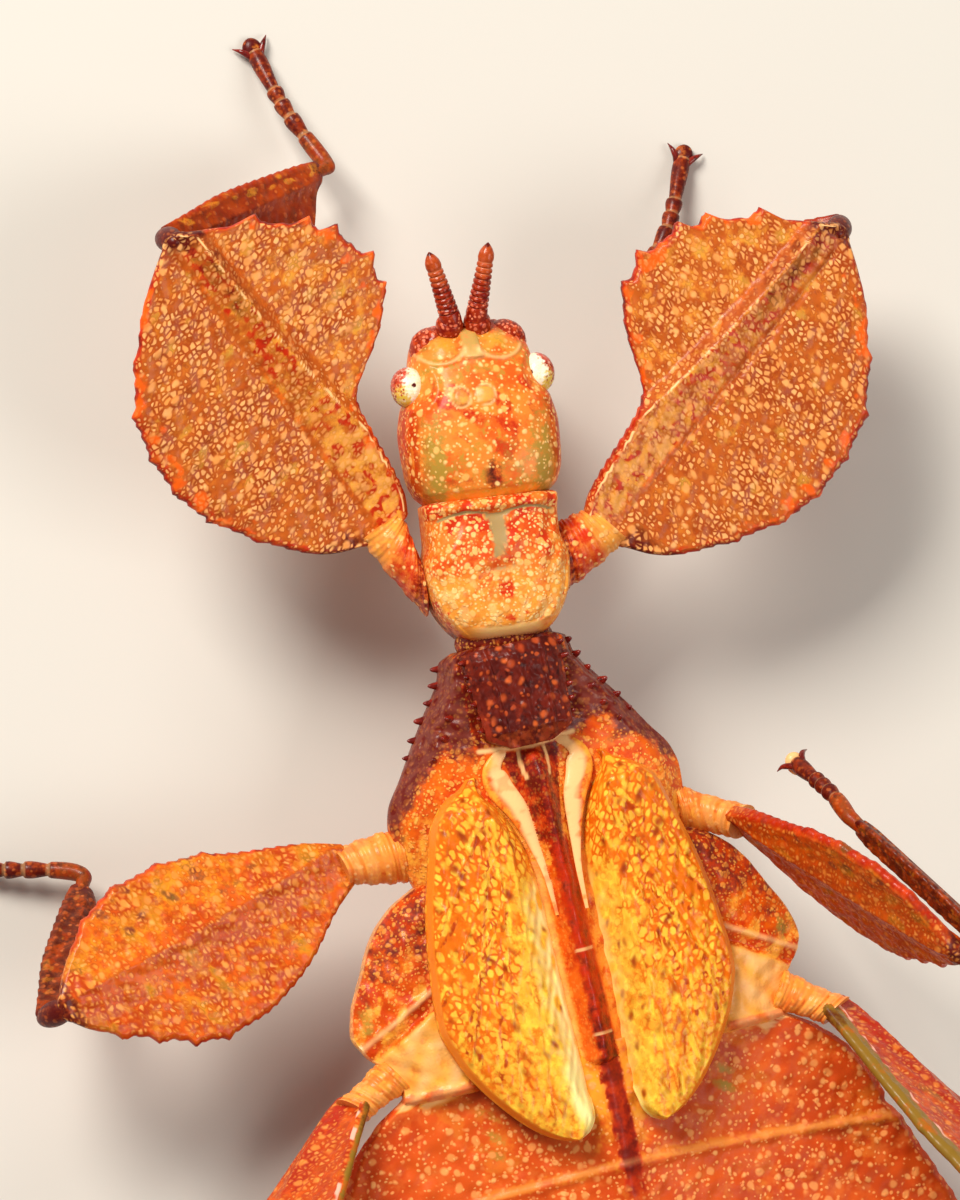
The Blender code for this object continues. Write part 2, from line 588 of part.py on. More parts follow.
LEGS = {
    "fore_left": dict(
        side=1, root=from_head((2.92, -2.85, 6.1)), root_wide=(0.05, 1.15, 0), root_high=(0, 0, 1.05),
        base=(3.15, -8.15, 6.2), knee=(8.45, -19.5, 8.3), roll=0.0, lines=(FORE_BACK, FORE_FRONT),
        teeth=(FORE_SAW, FORE_TEETH), crest=0.72, wide=0.95, spread=(0.98, 1.05), hinge=(0.1, 0.98), tibia_end=(2.05, -21.0, 2.7),
        tibia_roll=0.35, tibia=FORE_TIBIA_INNER, foot=((2.42, -23.6, 1.2), (2.83, -25.7, 0.24)), standing=True,
    ),
    "fore_right": dict(
        side=-1, root=from_head((-2.92, -2.85, 6.1)), root_wide=(0.05, 1.15, 0), root_high=(0, 0, 1.05),
        base=(-4.45, -6.45, 6.2), knee=(-14.95, -14.8, 6.7), roll=0.0, lines=(FORE_BACK, FORE_FRONT),
        teeth=(FORE_SAW, FORE_TEETH), crest=0.72, wide=0.95, spread=(1.0, 0.97), hinge=(0.4, 0.95), tibia_end=(-9.0, -14.7, 2.4),
        tibia_roll=0.2, tibia=FORE_TIBIA_INNER, foot=((-10.1, -16.4, 1.3), (-11.4, -18.7, 0.24)), standing=True,
    ),
    "mid_left": dict(
        side=1, root=(5.65, 3.1, 5.3), root_wide=(0, 0.95, 0), root_high=(0, 0, 0.95),
        base=(6.95, 2.95, 5.3), knee=(18.0, 5.6, 7.2), roll=0.0, lines=(MID_BACK, MID_FRONT),
        teeth=(MID_TEETH, MID_SAW), crest=0.6, wide=0.72, spread=(1.0, 1.0), hinge=(0.5, 0.85), tibia_end=(15.8, 1.8, 1.9),
        tibia_roll=0.0, tibia=TIBIA_INNER, foot=((18.2, 0.5, 0.75), (20.1, 0.13, 0.24)), standing=True,
    ),
    "mid_right": dict(
        side=-1, root=(-5.6, 3.55, 5.5), root_wide=(0, 0.85, 0), root_high=(0, 0, 0.9),
        base=(-6.8, 4.5, 6.3), knee=(-11.95, 10.6, 13.6), roll=-1.36, lines=(MID_BACK, MID_FRONT),
        teeth=(MID_TEETH, MID_SAW), crest=0.6, wide=0.72, spread=(0.95, 0.92), hinge=(0.45, 0.85), tibia_end=(-10.4, 5.7, 9.4),
        tibia_roll=1.5, tibia=TIBIA_INNER, foot=((-10.0, 4.5, 8.1), (-9.4, 3.1, 5.9)), standing=False,
    ),
    "hind_left": dict(
        side=1, root=(7.65, 10.5, 5.5), root_wide=(-0.42, 0.66, 0), root_high=(0, 0, 0.8),
        base=(8.6, 11.2, 5.9), knee=(18.2, 20.7, 9.4), roll=1.2, lines=(HIND_BACK, HIND_FRONT),
        teeth=(MID_SAW, MID_SAW), crest=0.6, wide=0.72, spread=(1.0, 1.0), hinge=(0.75, 0.35), tibia_end=(20.4, 25.8, 2.0),
        tibia_roll=0.6, tibia=TIBIA_INNER, foot=((21.6, 28.2, 0.75), (23.0, 30.3, 0.24)), standing=True,
    ),
    "hind_right": dict(
        side=-1, root=(-7.6, 10.65, 5.6), root_wide=(0.42, 0.66, 0), root_high=(0, 0, 0.8),
        base=(-8.6, 11.65, 6.2), knee=(-15.7, 23.1, 10.2), roll=1.12, lines=(HIND_BACK, HIND_FRONT),
        teeth=(MID_SAW, MID_SAW), crest=0.6, wide=0.72, spread=(1.0, 1.0), hinge=(0.75, 0.35), tibia_end=(-18.0, 27.8, 2.0),
        tibia_roll=0.6, tibia=TIBIA_INNER, foot=((-19.2, 30.0, 0.75), (-20.8, 32.0, 0.24)), standing=True,
    ),
}


def frame_of(leg):
    """The femur's own directions: along it, across its blade toward the back lobe, and up from the blade."""
    along = unit(np.subtract(leg["knee"], leg["base"]))
    flat = unit(np.cross([0, 0, 1], along)) * leg["side"]
    up = np.cross(along, flat) * leg["side"]
    c, s = math.cos(leg["roll"]), math.sin(leg["roll"])
    return along, flat * c + up * s, up * c - flat * s


def make_leg(name, leg):
    along, across, up = frame_of(leg)
    base, knee = np.array(leg["base"]), np.array(leg["knee"])
    meets = base - along * GAP
    coxa = coxa_shape(
        (leg["root"], leg["root_wide"], leg["root_high"]),
        (meets, across * leg["wide"] * 0.95, up * 0.72),
    )
    node("coxa_" + name, coxa, (0.7, 0.3, 0.1))
    teeth = leg["teeth"]
    stations = {0.0, 0.03, 0.07, 0.13, 0.2, 0.27, 0.345, 0.38, 0.43, 0.49, 0.6, 0.72, 0.86, 0.96, 1.0}
    for place, _ in teeth[0] + teeth[1]:
        stations |= {round(place - 0.03, 3), place, round(place + 0.016, 3)}
    lines = [toothed(*side) for side in zip(leg["lines"], teeth, leg["spread"])]
    stations = [0.0] + [t for a, t in zip(sorted(stations), sorted(stations)[1:]) if t - a > 0.011]
    femur = blade_shape(base, knee, leg["side"], leg["roll"], lines[0], lines[1], stations, SHAFT_HALF,
                        leg["crest"], 0.5, 0.01)
    node("femur_" + name, femur, (0.65, 0.2, 0.06))
    start = knee + along * leg["hinge"][0] - up * leg["hinge"][1]
    end = np.array(leg["tibia_end"])
    shin = blade_shape(start, end, leg["side"], leg["tibia_roll"], toothed(TIBIA_OUTER, ()), toothed(leg["tibia"], ()),
                       [0, 0.06, 0.15, 0.3, 0.45, 0.6, 0.75, 0.85, 0.9, 0.94, 1.0], 0.34, 0.38, 0.36)
    node("tibia_" + name, shin, (0.45, 0.1, 0.04))
    ahead = unit(end - start)
    path = [end + ahead * (GAP + 0.15), end + ahead * (GAP + 0.65)] + list(leg["foot"])
    shapes = tarsus_shapes(path, leg["standing"])
    node("tarsus_" + name, shapes[0], (0.3, 0.05, 0.03), shapes[1:])


clear_scene()
make_head()
for name, (start, end) in zip(("antenna_left", "antenna_right"), ANTENNA):
    node(name, antenna_shape(start, end), (0.35, 0.05, 0.03))
make_mouth()
make_prothorax()
make_mesothorax()
make_metathorax()
for name, side in (("left", 1), ("right", -1)):
    places = [1.3, 1.5, 1.8, 2.3, 3.0, 4.0, 5.0, 6.5, 8.0, 9.5, 10.6, 11.6, 12.5, 13.2, 13.7, 14.1]
    node("wing_pad_" + name, pad_shape(side, places), (0.85, 0.4, 0.04))
make_abdomen()
for name, leg in LEGS.items():
    make_leg(name, leg)
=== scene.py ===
"""Looks of the leaf insect: one skin of cuticle over body and legs, with pads, eyes, feelers and spines."""

import math

import bpy
import numpy as np
from mathutils import Matrix, Vector

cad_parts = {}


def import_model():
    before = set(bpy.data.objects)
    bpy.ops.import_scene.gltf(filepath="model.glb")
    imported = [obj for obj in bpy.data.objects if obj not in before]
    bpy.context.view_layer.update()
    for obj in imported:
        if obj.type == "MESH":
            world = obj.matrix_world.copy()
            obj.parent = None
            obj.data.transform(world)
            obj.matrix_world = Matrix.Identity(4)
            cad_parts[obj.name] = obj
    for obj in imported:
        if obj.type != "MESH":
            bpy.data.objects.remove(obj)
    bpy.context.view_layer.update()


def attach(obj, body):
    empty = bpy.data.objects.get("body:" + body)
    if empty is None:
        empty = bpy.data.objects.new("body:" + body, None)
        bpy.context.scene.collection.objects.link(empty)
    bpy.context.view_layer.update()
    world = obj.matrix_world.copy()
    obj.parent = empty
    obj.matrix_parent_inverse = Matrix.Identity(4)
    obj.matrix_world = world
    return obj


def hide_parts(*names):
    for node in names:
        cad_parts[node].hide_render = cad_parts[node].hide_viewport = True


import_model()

# Lengths are millimetres in the body's own frame: the head looks along -Y and the insect's left side is +X.
MM = 0.001
MIDDLE = (1.1, 11.5)
NECK = np.array([-0.08, -3.5, 0.0])
HEAD_YAW = math.radians(6.0)
SIDES = (1, -1)

# The photograph's frame: its height at the insect, the way the lens looks and the picture's own right.
VIEW_HIGH = 42.0
LENS_FAR = 400.0
SENSOR = 36.0
LOOKS_AT = (0.34, -5.0, 6.0)
LOOKS_ALONG = (-0.175, 0.0, -0.984)
PICTURE_RIGHT = (-0.959, 0.2235, 0.1705)

# The painted values that every shell carries, with the size, kind and field of each.
PAINTED = (("place", 3, "FLOAT_VECTOR", "vector"), ("paint", 4, "FLOAT_COLOR", "color"),
           ("tint", 4, "FLOAT_COLOR", "color"))


def world(points):
    return (np.asarray(points, float) - np.array([MIDDLE[0], MIDDLE[1], 0.0])) * MM


def unit(vector):
    vector = np.asarray(vector, float)
    return vector / np.linalg.norm(vector)


def smooth(knots, place):
    """A smooth line through (place, value) knots that never overshoots them."""
    x, y = np.array(knots, float).T
    slope = np.diff(y) / np.diff(x)
    tangent = np.concatenate([slope[:1], np.zeros(len(x) - 2), slope[-1:]])
    rising = slope[:-1] * slope[1:] > 0
    total = np.where(rising, slope[:-1] + slope[1:], 1.0)
    tangent[1:-1] = np.where(rising, 2 * slope[:-1] * slope[1:] / total, 0.0)
    place = np.clip(place, x[0], x[-1])
    i = np.clip(np.searchsorted(x, place, side="right") - 1, 0, len(x) - 2)
    step = x[i + 1] - x[i]
    t = (place - x[i]) / step
    start = (2 * t**3 - 3 * t**2 + 1) * y[i] + (t**3 - 2 * t**2 + t) * step * tangent[i]
    end = (3 * t**2 - 2 * t**3) * y[i + 1] + (t**3 - t**2) * step * tangent[i + 1]
    return start + end


def from_head(points):
    """Points of the head's own frame, turned with the neck, in the body's frame."""
    points = np.asarray(points, float)
    c, s = math.cos(HEAD_YAW), math.sin(HEAD_YAW)
    x, y, z = points[..., 0], points[..., 1], points[..., 2]
    return NECK + np.stack([x * c + y * s, y * c - x * s, z], -1)


def step_up(value, start, end):
    t = np.clip((value - start) / (end - start), 0, 1)
    return t * t * (3 - 2 * t)


def band(value, middle, half, soft=0.1):
    """One inside a band and zero outside it."""
    return 1 - step_up(np.abs(value - middle), half, half + soft)


def bell(value, middle, half):
    return np.exp(-(((value - middle) / half) ** 2))


def hill(x, y, centre, size):
    """One at a centre, falling to nothing round it as a bell; size is the bell's two radii."""
    return np.exp(-(((x - centre[0]) / size[0]) ** 2) - ((y - centre[1]) / size[1]) ** 2)


def to_line(x, y, start, end, half):
    """One on a straight line between two places, falling to nothing at half away from it."""
    start, end = np.array(start), np.array(end)
    span = end - start
    t = np.clip(((x - start[0]) * span[0] + (y - start[1]) * span[1]) / (span @ span), 0, 1)
    return 1 - step_up(np.hypot(x - start[0] - t * span[0], y - start[1] - t * span[1]), 0, half)


def blotches(points, size, seed):
    """Soft random patches from -1 to 1, about a size across, the same each run."""
    draw = np.random.default_rng(seed)
    total = np.zeros(points.shape[:-1])
    for _ in range(7):
        wave = unit(draw.normal(size=3)) * math.tau / size * draw.uniform(0.6, 1.5)
        total += np.sin(points @ wave + draw.uniform(0, math.tau))
    return total / 2.6


def patches(points, size, seed, start, end):
    """Blotches with firmer edges, from zero to one."""
    return step_up(blotches(points, size, seed), start, end)


def stack(*channels):
    return np.stack(np.broadcast_arrays(*channels), -1).astype(float)


def linked(obj):
    bpy.context.scene.collection.objects.link(obj)
    return obj


# Shells

# The skin is shaded sharp where two of its faces turn by more than this.
SHARP_TURN = math.radians(62)


def closed_shell(name, rings, finish, paint=(0, 0, 0, 0), tint=(0, 0, 0, 0), place=None):
    """A closed mesh over rings of points (stations, sides, 3) with its painted values.

    paint is its dark, pale, gold and red, and tint its dots, grey, green and rim. place is the surface's own
    place in millimetres.
    """
    stations, sides = rings.shape[:2]
    points = rings.reshape(-1, 3)
    given = {"place": rings if place is None else place, "paint": paint, "tint": tint}
    values = {key: np.broadcast_to(given[key], (stations, sides, size)).reshape(-1, size)
              for key, size, _, _ in PAINTED}
    i = np.arange(stations - 1)[:, None] * sides
    j = np.arange(sides)[None, :]
    k = (j + 1) % sides
    quads = np.stack([i + j, i + k, i + k + sides, i + j + sides], -1).reshape(-1, 4)
    faces = quads.tolist()
    last = (stations - 1) * sides
    for first, turn in ((0, 1), (last, -1)):
        hub = len(points)
        ring = slice(first, first + sides)
        points = np.vstack([points, points[ring].mean(axis=0)])
        for key in values:
            values[key] = np.vstack([values[key], values[key][ring].mean(axis=0)])
        for a in range(sides):
            b = (a + 1) % sides
            faces.append([hub, first + b, first + a] if turn > 0 else [hub, first + a, first + b])
    corners = points[quads]
    across = np.cross(corners[:, 1] - corners[:, 0], corners[:, 3] - corners[:, 0])
    if (across * (corners.mean(axis=1) - points.mean(axis=0))).sum() < 0:
        faces = [face[::-1] for face in faces]
    mesh = bpy.data.meshes.new(name)
    mesh.from_pydata(world(points).tolist(), [], faces)
    for key, _, kind, field in PAINTED:
        layer = mesh.attributes.new(key, kind, "POINT")
        layer.data.foreach_set(field, values[key].astype(np.float32).ravel())
    made = mesh.attributes.new("made", "FLOAT", "POINT")
    made.data.foreach_set("value", np.ones(len(points), np.float32))
    mesh.materials.append(finish)
    mesh.polygons.foreach_set("use_smooth", np.ones(len(faces), bool))
    return linked(bpy.data.objects.new(name, mesh))


def head_piece(name, rings, finish, paint=(0, 0, 0, 0), tint=(0, 0, 0, 0)):
    """A closed shell drawn in the head's own frame, whose pattern is laid out in that frame too."""
    return closed_shell(name, from_head(rings), finish, paint, tint, rings)


def ovals(centres, wides, highs, sides, power=2.0):
    """Rings round centres, with their half axes given as vectors."""
    angle = math.tau * np.arange(sides) / sides
    c, s = np.cos(angle), np.sin(angle)
    c = np.sign(c) * np.abs(c) ** (2 / power)
    s = np.sign(s) * np.abs(s) ** (2 / power)
    centres, wides, highs = (np.asarray(a, float)[:, None, :] for a in (centres, wides, highs))
    return centres + wides * c[None, :, None] + highs * s[None, :, None]


def barrel_rings(ends, wides, tops, unders, counts, power):
    """Rings of a part that lies along Y, from the knots of its half width, its top and its underside."""
    y = np.linspace(*ends, counts[0])
    wide, top, under = (smooth(knots, y) for knots in (wides, tops, unders))
    zero = np.zeros_like(y)
    return ovals(np.stack([zero, y, (top + under) / 2], -1), np.stack([wide, zero, zero], -1),
                 np.stack([zero, zero, (top - under) / 2], -1), counts[1], power)


def along_path(path, marks):
    """Places on a smooth curve through path, at marks from 0 to 1."""
    path = np.array(path, float)
    steps = np.concatenate([[0], np.cumsum(np.linalg.norm(np.diff(path, axis=0), axis=1))])
    steps /= steps[-1]
    return np.stack([smooth(list(zip(steps, path[:, k])), marks) for k in range(3)], -1)


def tube_rings(path, radii, sides, stations, flat=1.0):
    """Rings along a smooth path; radii are (mark, radius) knots, flat squeezes them along their own up."""
    marks = np.linspace(0, 1, stations)
    centres = along_path(path, marks)
    ahead = np.gradient(centres, axis=0)
    ahead /= np.linalg.norm(ahead, axis=1)[:, None]
    side = np.cross([0, 0, 1], ahead) + 1e-9
    side /= np.linalg.norm(side, axis=1)[:, None]
    up = np.cross(ahead, side)
    radius = smooth(radii, marks)[:, None]
    return ovals(centres, side * radius, up * radius * flat, sides)


def ball_rings(centre, radii, sides=48, stations=30, turn=0.0):
    """Rings of an egg shape whose long axis is turned about Z."""
    angle = np.linspace(0.02, math.pi - 0.02, stations)
    c, s = math.cos(turn), math.sin(turn)
    y, r = -np.cos(angle) * radii[1], np.sin(angle)
    zero = np.zeros_like(y)
    centres = np.asarray(centre, float) + np.stack([-y * s, y * c, zero], -1)
    wides = np.stack([c * radii[0] * r, s * radii[0] * r, zero], -1)
    return ovals(centres, wides, np.stack([zero, zero, radii[2] * r], -1), sides)


def rim_spread(count, ease=0.6):
    """Fractions from 0 to 1, closer together toward both ends."""
    t = np.linspace(0, 1, count)
    return (1 - ease) * t + ease * (1 - np.cos(math.pi * t)) / 2


def slab_rings(stations, columns, under_columns, low, high, top, bottom):
    """Rings of a plate along Y between two side lines; also its x and y and which points are on top."""
    y = np.asarray(stations, float)[:, None]
    left, right = low(y), high(y)
    x_over = left + (right - left) * np.asarray(columns)[None, :]
    x_under = (left + (right - left) * np.asarray(under_columns)[None, :])[:, -2:0:-1]
    y_over, y_under = np.broadcast_to(y, x_over.shape), np.broadcast_to(y, x_under.shape)
    z_over, z_under = top(x_over, y_over), bottom(x_under, y_under)
    for end in (0, -1):
        z_over[:, end] = (z_over[:, end] + bottom(x_over, y_over)[:, end]) / 2
    x = np.hstack([x_over, x_under])
    y = np.hstack([y_over, y_under])
    z = np.hstack([z_over, z_under])
    over = np.hstack([np.ones(x_over.shape), np.zeros(x_under.shape)])
    return np.stack([x, y, z], -1), x, y, over


def even_slab(start, end, counts, eases, wide, top, bottom):
    """A slab as wide to the left as to the right; counts are its stations, its columns and those below."""
    stations = np.linspace(start, end, counts[0])
    return slab_rings(stations, rim_spread(counts[1], eases[0]), rim_spread(counts[2], eases[1]),
                      lambda y: -wide(y), wide, top, bottom)


def fused(name, shells):
    """One skin from closed shells that reach into each other."""
    group = bpy.data.collections.new("parts_of_" + name)
    bpy.context.scene.collection.children.link(group)
    for piece in shells[1:]:
        bpy.context.scene.collection.objects.unlink(piece)
        group.objects.link(piece)
    modifier = shells[0].modifiers.new("fuse", "BOOLEAN")
    modifier.operation = "UNION"
    modifier.solver = "MANIFOLD"
    modifier.operand_type = "COLLECTION"
    modifier.collection = group
    modifier.material_mode = "TRANSFER"
    graph = bpy.context.evaluated_depsgraph_get()
    mesh = bpy.data.meshes.new_from_object(shells[0].evaluated_get(graph))
    for piece in shells:
        bpy.data.objects.remove(piece, do_unlink=True)
    bpy.data.collections.remove(group)
    fill_new_points(mesh)
    mesh.set_sharp_from_angle(angle=SHARP_TURN)
    return linked(bpy.data.objects.new(name, mesh))


def fill_new_points(mesh):
    """Where two shells met, the new points take the painted values of the points beside them."""
    count = len(mesh.vertices)
    made = np.empty(count, np.float32)
    mesh.attributes["made"].data.foreach_get("value", made)
    known = made > 0.5
    edges = np.empty(len(mesh.edges) * 2, np.int32)
    mesh.edges.foreach_get("vertices", edges)
    edges = edges.reshape(-1, 2)
    both = np.vstack([edges, edges[:, ::-1]])
    values = {}
    for key, size, _, field in PAINTED:
        value = np.empty(count * size, np.float32)
        mesh.attributes[key].data.foreach_get(field, value)
        values[key] = value.reshape(-1, size)
    for _ in range(12):
        link = both[~known[both[:, 0]] & known[both[:, 1]]]
        if not len(link):
            break
        near = np.bincount(link[:, 0], minlength=count)
        fresh = near > 0
        for value in values.values():
            for k in range(value.shape[1]):
                total = np.bincount(link[:, 0], weights=value[link[:, 1], k], minlength=count)
                value[fresh, k] = total[fresh] / near[fresh]
        known |= fresh
    for key, _, _, field in PAINTED:
        mesh.attributes[key].data.foreach_set(field, values[key].ravel())


# Finishes

ROUND = (1, 1, 1)
# How unevenly cells and spots are strewn, from 0, a grid, to 1.
SCATTER = 0.85
SMOOTH = {"interpolation_type": "SMOOTHSTEP"}
TIMES = {"operation": "MULTIPLY"}
PLUS = {"operation": "ADD"}
MINUS = {"operation": "SUBTRACT"}
BLEND = {"pick": 2, "data_type": "RGBA"}


def linear(hex_colour):
    """An sRGB hex colour as a linear RGBA."""
    parts = [int(hex_colour[i:i + 2], 16) / 255 for i in (1, 3, 5)]
    return (*(c / 12.92 if c <= 0.04045 else ((c + 0.055) / 1.055) ** 2.4 for c in parts), 1.0)


def add(tree, kind, links, pick=0, **settings):
    """Adds a node with its settings and gives one of its outputs, or the node itself where pick is None.

    links gives its inputs, by name or in their order, a value or the output that feeds them.
    """
    node = tree.nodes.new("ShaderNode" + kind)
    for key, value in settings.items():
        setattr(node, key, value)
    for key, value in links.items() if isinstance(links, dict) else enumerate(links):
        if isinstance(value, bpy.types.NodeSocket):
            tree.links.new(value, node.inputs[key])
        else:
            node.inputs[key].default_value = value
    return node if pick is None else node.outputs[pick]


def spots(tree, place, apart, cover, soft, stretch=ROUND, seed=0.0):
    """Round spots about apart millimetres from each other, and each spot's own random draw."""
    scaled = add(tree, "VectorMath",
                 (place, tuple(s / apart for s in stretch), (seed, seed * 1.7, seed * 0.3)),
                 operation="MULTIPLY_ADD")
    cells = add(tree, "TexVoronoi", {"Vector": scaled, "Scale": 1.0, "Randomness": SCATTER}, None,
                feature="F1")
    draw = add(tree, "SeparateColor", {0: cells.outputs["Color"]})
    reach = add(tree, "MapRange", (draw, 0.0, 1.0, cover * 0.6, cover), **SMOOTH)
    gap = add(tree, "Math", (cells.outputs["Distance"], reach), **MINUS)
    return add(tree, "MapRange", (gap, -soft, soft, 1.0, 0.0), **SMOOTH), draw


def netted(tree, place, broad, apart, stretch, wall):
    """Rounded cells about apart millimetres across, with only thin walls between them where broad is high.

    Gives how far inside a cell a place is, how near to one, and the cell's two random draws.
    """
    scaled = add(tree, "VectorMath", (place, tuple(s / apart for s in stretch)), **TIMES)
    edges, cells = (add(tree, "TexVoronoi", {"Vector": scaled, "Scale": 1.0, "Randomness": SCATTER}, None,
                        feature=feature) for feature in ("DISTANCE_TO_EDGE", "F1"))
    first, second = add(tree, "SeparateColor", {0: cells.outputs["Color"]}, None).outputs[:2]
    own_reach = add(tree, "MapRange", (second, 0.0, 1.0, 0.26, 0.58), **SMOOTH)
    more_reach = add(tree, "MapRange", (broad, 0.4, 0.66, 0.0, 0.45), **SMOOTH)
    reach = add(tree, "Math", (own_reach, more_reach), **PLUS)
    gap = add(tree, "Math", (cells.outputs["Distance"], reach), **MINUS)
    off_wall = add(tree, "MapRange", (edges.outputs["Distance"], wall * 0.1, wall * 0.6), **SMOOTH)
    within = add(tree, "MapRange", (gap, -0.16, 0.06, 1.0, 0.0), **SMOOTH)
    inside = add(tree, "Math", (off_wall, within), **TIMES)
    return inside, add(tree, "MapRange", (gap, 0.0, 0.2, 1.0, 0.0), **SMOOTH), first, second


def cuticle(name, ground, patch, deep, dots, dot_colours, net=None, pores=None, patch_size=1.6, relief=0.03,
            roughness=0.42, coat=0.15, glow=0.0, **shades):
    """Waxy insect cuticle, tanned in patches: a glossy skin over colour that lies a little way in.

    dots is a list of (apart, cover, soft, stretch) in millimetres, drawn in the two dot colours. net is the
    apart, stretch and wall of its cells. pores are a colour and the spots it is drawn in. shades are the
    colours of the painted places.
    """
    shades = dict(wall="#7E2408", gold="#F6A02C", red="#D0330A", grey="#8A4A3A", green="#B08A34",
                  rim="#E8561A", dark="#560C07", pale="#FDC886") | shades
    tone = {key: linear(shade) for key, shade in shades.items()}
    lights = [linear(colour) for colour in dot_colours]
    material = bpy.data.materials.new(name)
    material.use_nodes = True
    tree = material.node_tree
    shader = tree.nodes["Principled BSDF"]
    place = add(tree, "Attribute", {}, "Vector", attribute_name="place")
    wander = add(tree, "TexNoise", {"Vector": place, "Scale": 1.6, "Detail": 2.0}, "Color")
    warped = add(tree, "VectorMath", (wander, (0.3, 0.3, 0.3), place), operation="MULTIPLY_ADD")
    paint, tint = (add(tree, "Attribute", {}, None, attribute_name=key) for key in ("paint", "tint"))
    dark, pale, gold = add(tree, "SeparateColor", {0: paint.outputs["Color"]}, None).outputs[:3]
    dotted, grey, green = add(tree, "SeparateColor", {0: tint.outputs["Color"]}, None).outputs[:3]
    red, rim = paint.outputs["Alpha"], tint.outputs["Alpha"]

    broad = add(tree, "TexNoise", {"Vector": place, "Scale": 1 / patch_size, "Detail": 3.0, "Roughness": 0.6})
    fine = add(tree, "TexNoise",
               {"Vector": place, "Scale": 2.6 / patch_size, "Detail": 3.0, "Roughness": 0.7})
    grit = add(tree, "TexNoise", {"Vector": place, "Scale": 9.0, "Detail": 2.0})
    patched = add(tree, "MapRange", (broad, 0.4, 0.62), **SMOOTH)
    deepened = add(tree, "MapRange", (fine, 0.48, 0.7), **SMOOTH)
    colour = add(tree, "Mix", {0: patched, 6: linear(ground), 7: linear(patch)}, **BLEND)
    colour = add(tree, "Mix", {0: deepened, 6: colour, 7: linear(deep)}, **BLEND)
    ragged = add(tree, "MapRange", (fine, 0.25, 0.75, -0.35, 0.35), **SMOOTH)
    painted = {"gold": gold, "red": red, "grey": grey, "green": green, "rim": rim, "dark": dark}
    for key, amount in painted.items():
        there = add(tree, "MapRange", (amount, 0.0, 0.2), **SMOOTH)
        torn = add(tree, "Math", (amount, add(tree, "Math", (ragged, there), **TIMES)), **PLUS)
        torn = add(tree, "MapRange", (torn, 0.1, 0.85), **SMOOTH)
        colour = add(tree, "Mix", {0: torn, 6: colour, 7: tone[key]}, **BLEND)
    height = add(tree, "Math", (grit, 0.35), **TIMES)
    if net:
        inside, beside, first, second = netted(tree, warped, broad, *net)
        most = add(tree, "MapRange", (first, -0.3, 0.3), **SMOOTH)
        shown = add(tree, "Math", (most, dotted), **TIMES)
        lit = add(tree, "Math", (inside, shown), **TIMES)
        walled = add(tree, "Math", (add(tree, "Math", (beside, shown), **TIMES), 0.3), **TIMES)
        colour = add(tree, "Mix", {0: walled, 6: colour, 7: tone["wall"]}, **BLEND)
        cell = add(tree, "Mix", {0: second, 6: lights[0], 7: lights[1]}, **BLEND)
        colour = add(tree, "Mix", {0: lit, 6: colour, 7: cell}, **BLEND)
    for number, (apart, cover, soft, stretch) in enumerate(dots):
        mask, draw = spots(tree, warped, apart, cover, soft, stretch, 3.7 * number)
        mask = add(tree, "Math", (mask, dotted), **TIMES)
        shade = add(tree, "Mix", {0: draw, 6: lights[0], 7: lights[1]}, **BLEND)
        colour = add(tree, "Mix", {0: mask, 6: colour, 7: shade}, **BLEND)
        height = add(tree, "Math", (height, add(tree, "Math", (mask, 0.6), **TIMES)), **PLUS)
    if pores:
        mask = add(tree, "Math", (spots(tree, warped, *pores[1])[0], dotted), **TIMES)
        colour = add(tree, "Mix", {0: mask, 6: colour, 7: linear(pores[0])}, **BLEND)
    pale = add(tree, "MapRange", (pale, 0.1, 0.9), **SMOOTH)
    colour = add(tree, "Mix", {0: pale, 6: colour, 7: tone["pale"]}, **BLEND)
    bump = add(tree, "Bump", {"Strength": 0.8, "Distance": relief * MM, "Height": height})
    rough = add(tree, "MapRange", (grit, 0.3, 0.7, roughness - 0.1, roughness + 0.1), **SMOOTH)
    for key, value in (("Base Color", colour), ("Roughness", rough), ("Normal", bump)):
        tree.links.new(value, shader.inputs[key])
    # Chitin under wax: an IOR near 1.5, its gloss mostly in a thin outer layer, warm light in the thin parts.
    for key, value in (("IOR", 1.5), ("Specular IOR Level", 0.16), ("Coat Weight", coat),
                       ("Coat Roughness", 0.16), ("Subsurface Weight", glow),
                       ("Subsurface Radius", (1.0, 0.35, 0.1)), ("Subsurface Scale", 0.3 * MM)):
        shader.inputs[key].default_value = value
    return material


def round_dots(*sizes):
    return [(apart, cover, soft, ROUND) for apart, cover, soft in sizes]


# The head's cuticle is thin over pale tissue: orange over olive, red mottles, cream dots of two sizes.
HEAD = cuticle("head_cuticle", "#EE8830", "#E8601A", "#D08C2C",
               round_dots((0.42, 0.31, 0.1), (0.18, 0.33, 0.12)), ("#FFD890", "#FBB058"), patch_size=1.1,
               relief=0.02, coat=0.16, glow=0.15, rim="#C04408", red="#C62C06")
# The pronotum's granules are packed close: yellow on red-orange in front, soft and pale behind.
PRONOTUM = cuticle("pronotum_cuticle", "#EE7C28", "#DC5012", "#F29236",
                   round_dots((0.3, 0.42, 0.1), (0.15, 0.42, 0.12)), ("#FFDA94", "#FBAC54"), patch_size=1.0,
                   coat=0.14, glow=0.15, gold="#F19A38", grey="#A98A58", green="#BFA068", pale="#FDDC94")
# The middle and hind thorax: maroon and coarse in front, orange with yellow dots behind.
THORAX = cuticle("thorax_cuticle", "#E2600C", "#CA3E04", "#EE7C18",
                 round_dots((0.3, 0.38, 0.1), (0.15, 0.38, 0.1)), ("#FDB850", "#F4903A"), patch_size=1.2,
                 relief=0.04, coat=0.14, grey="#742E24", dark="#661006", red="#C42A04", gold="#F8A838")
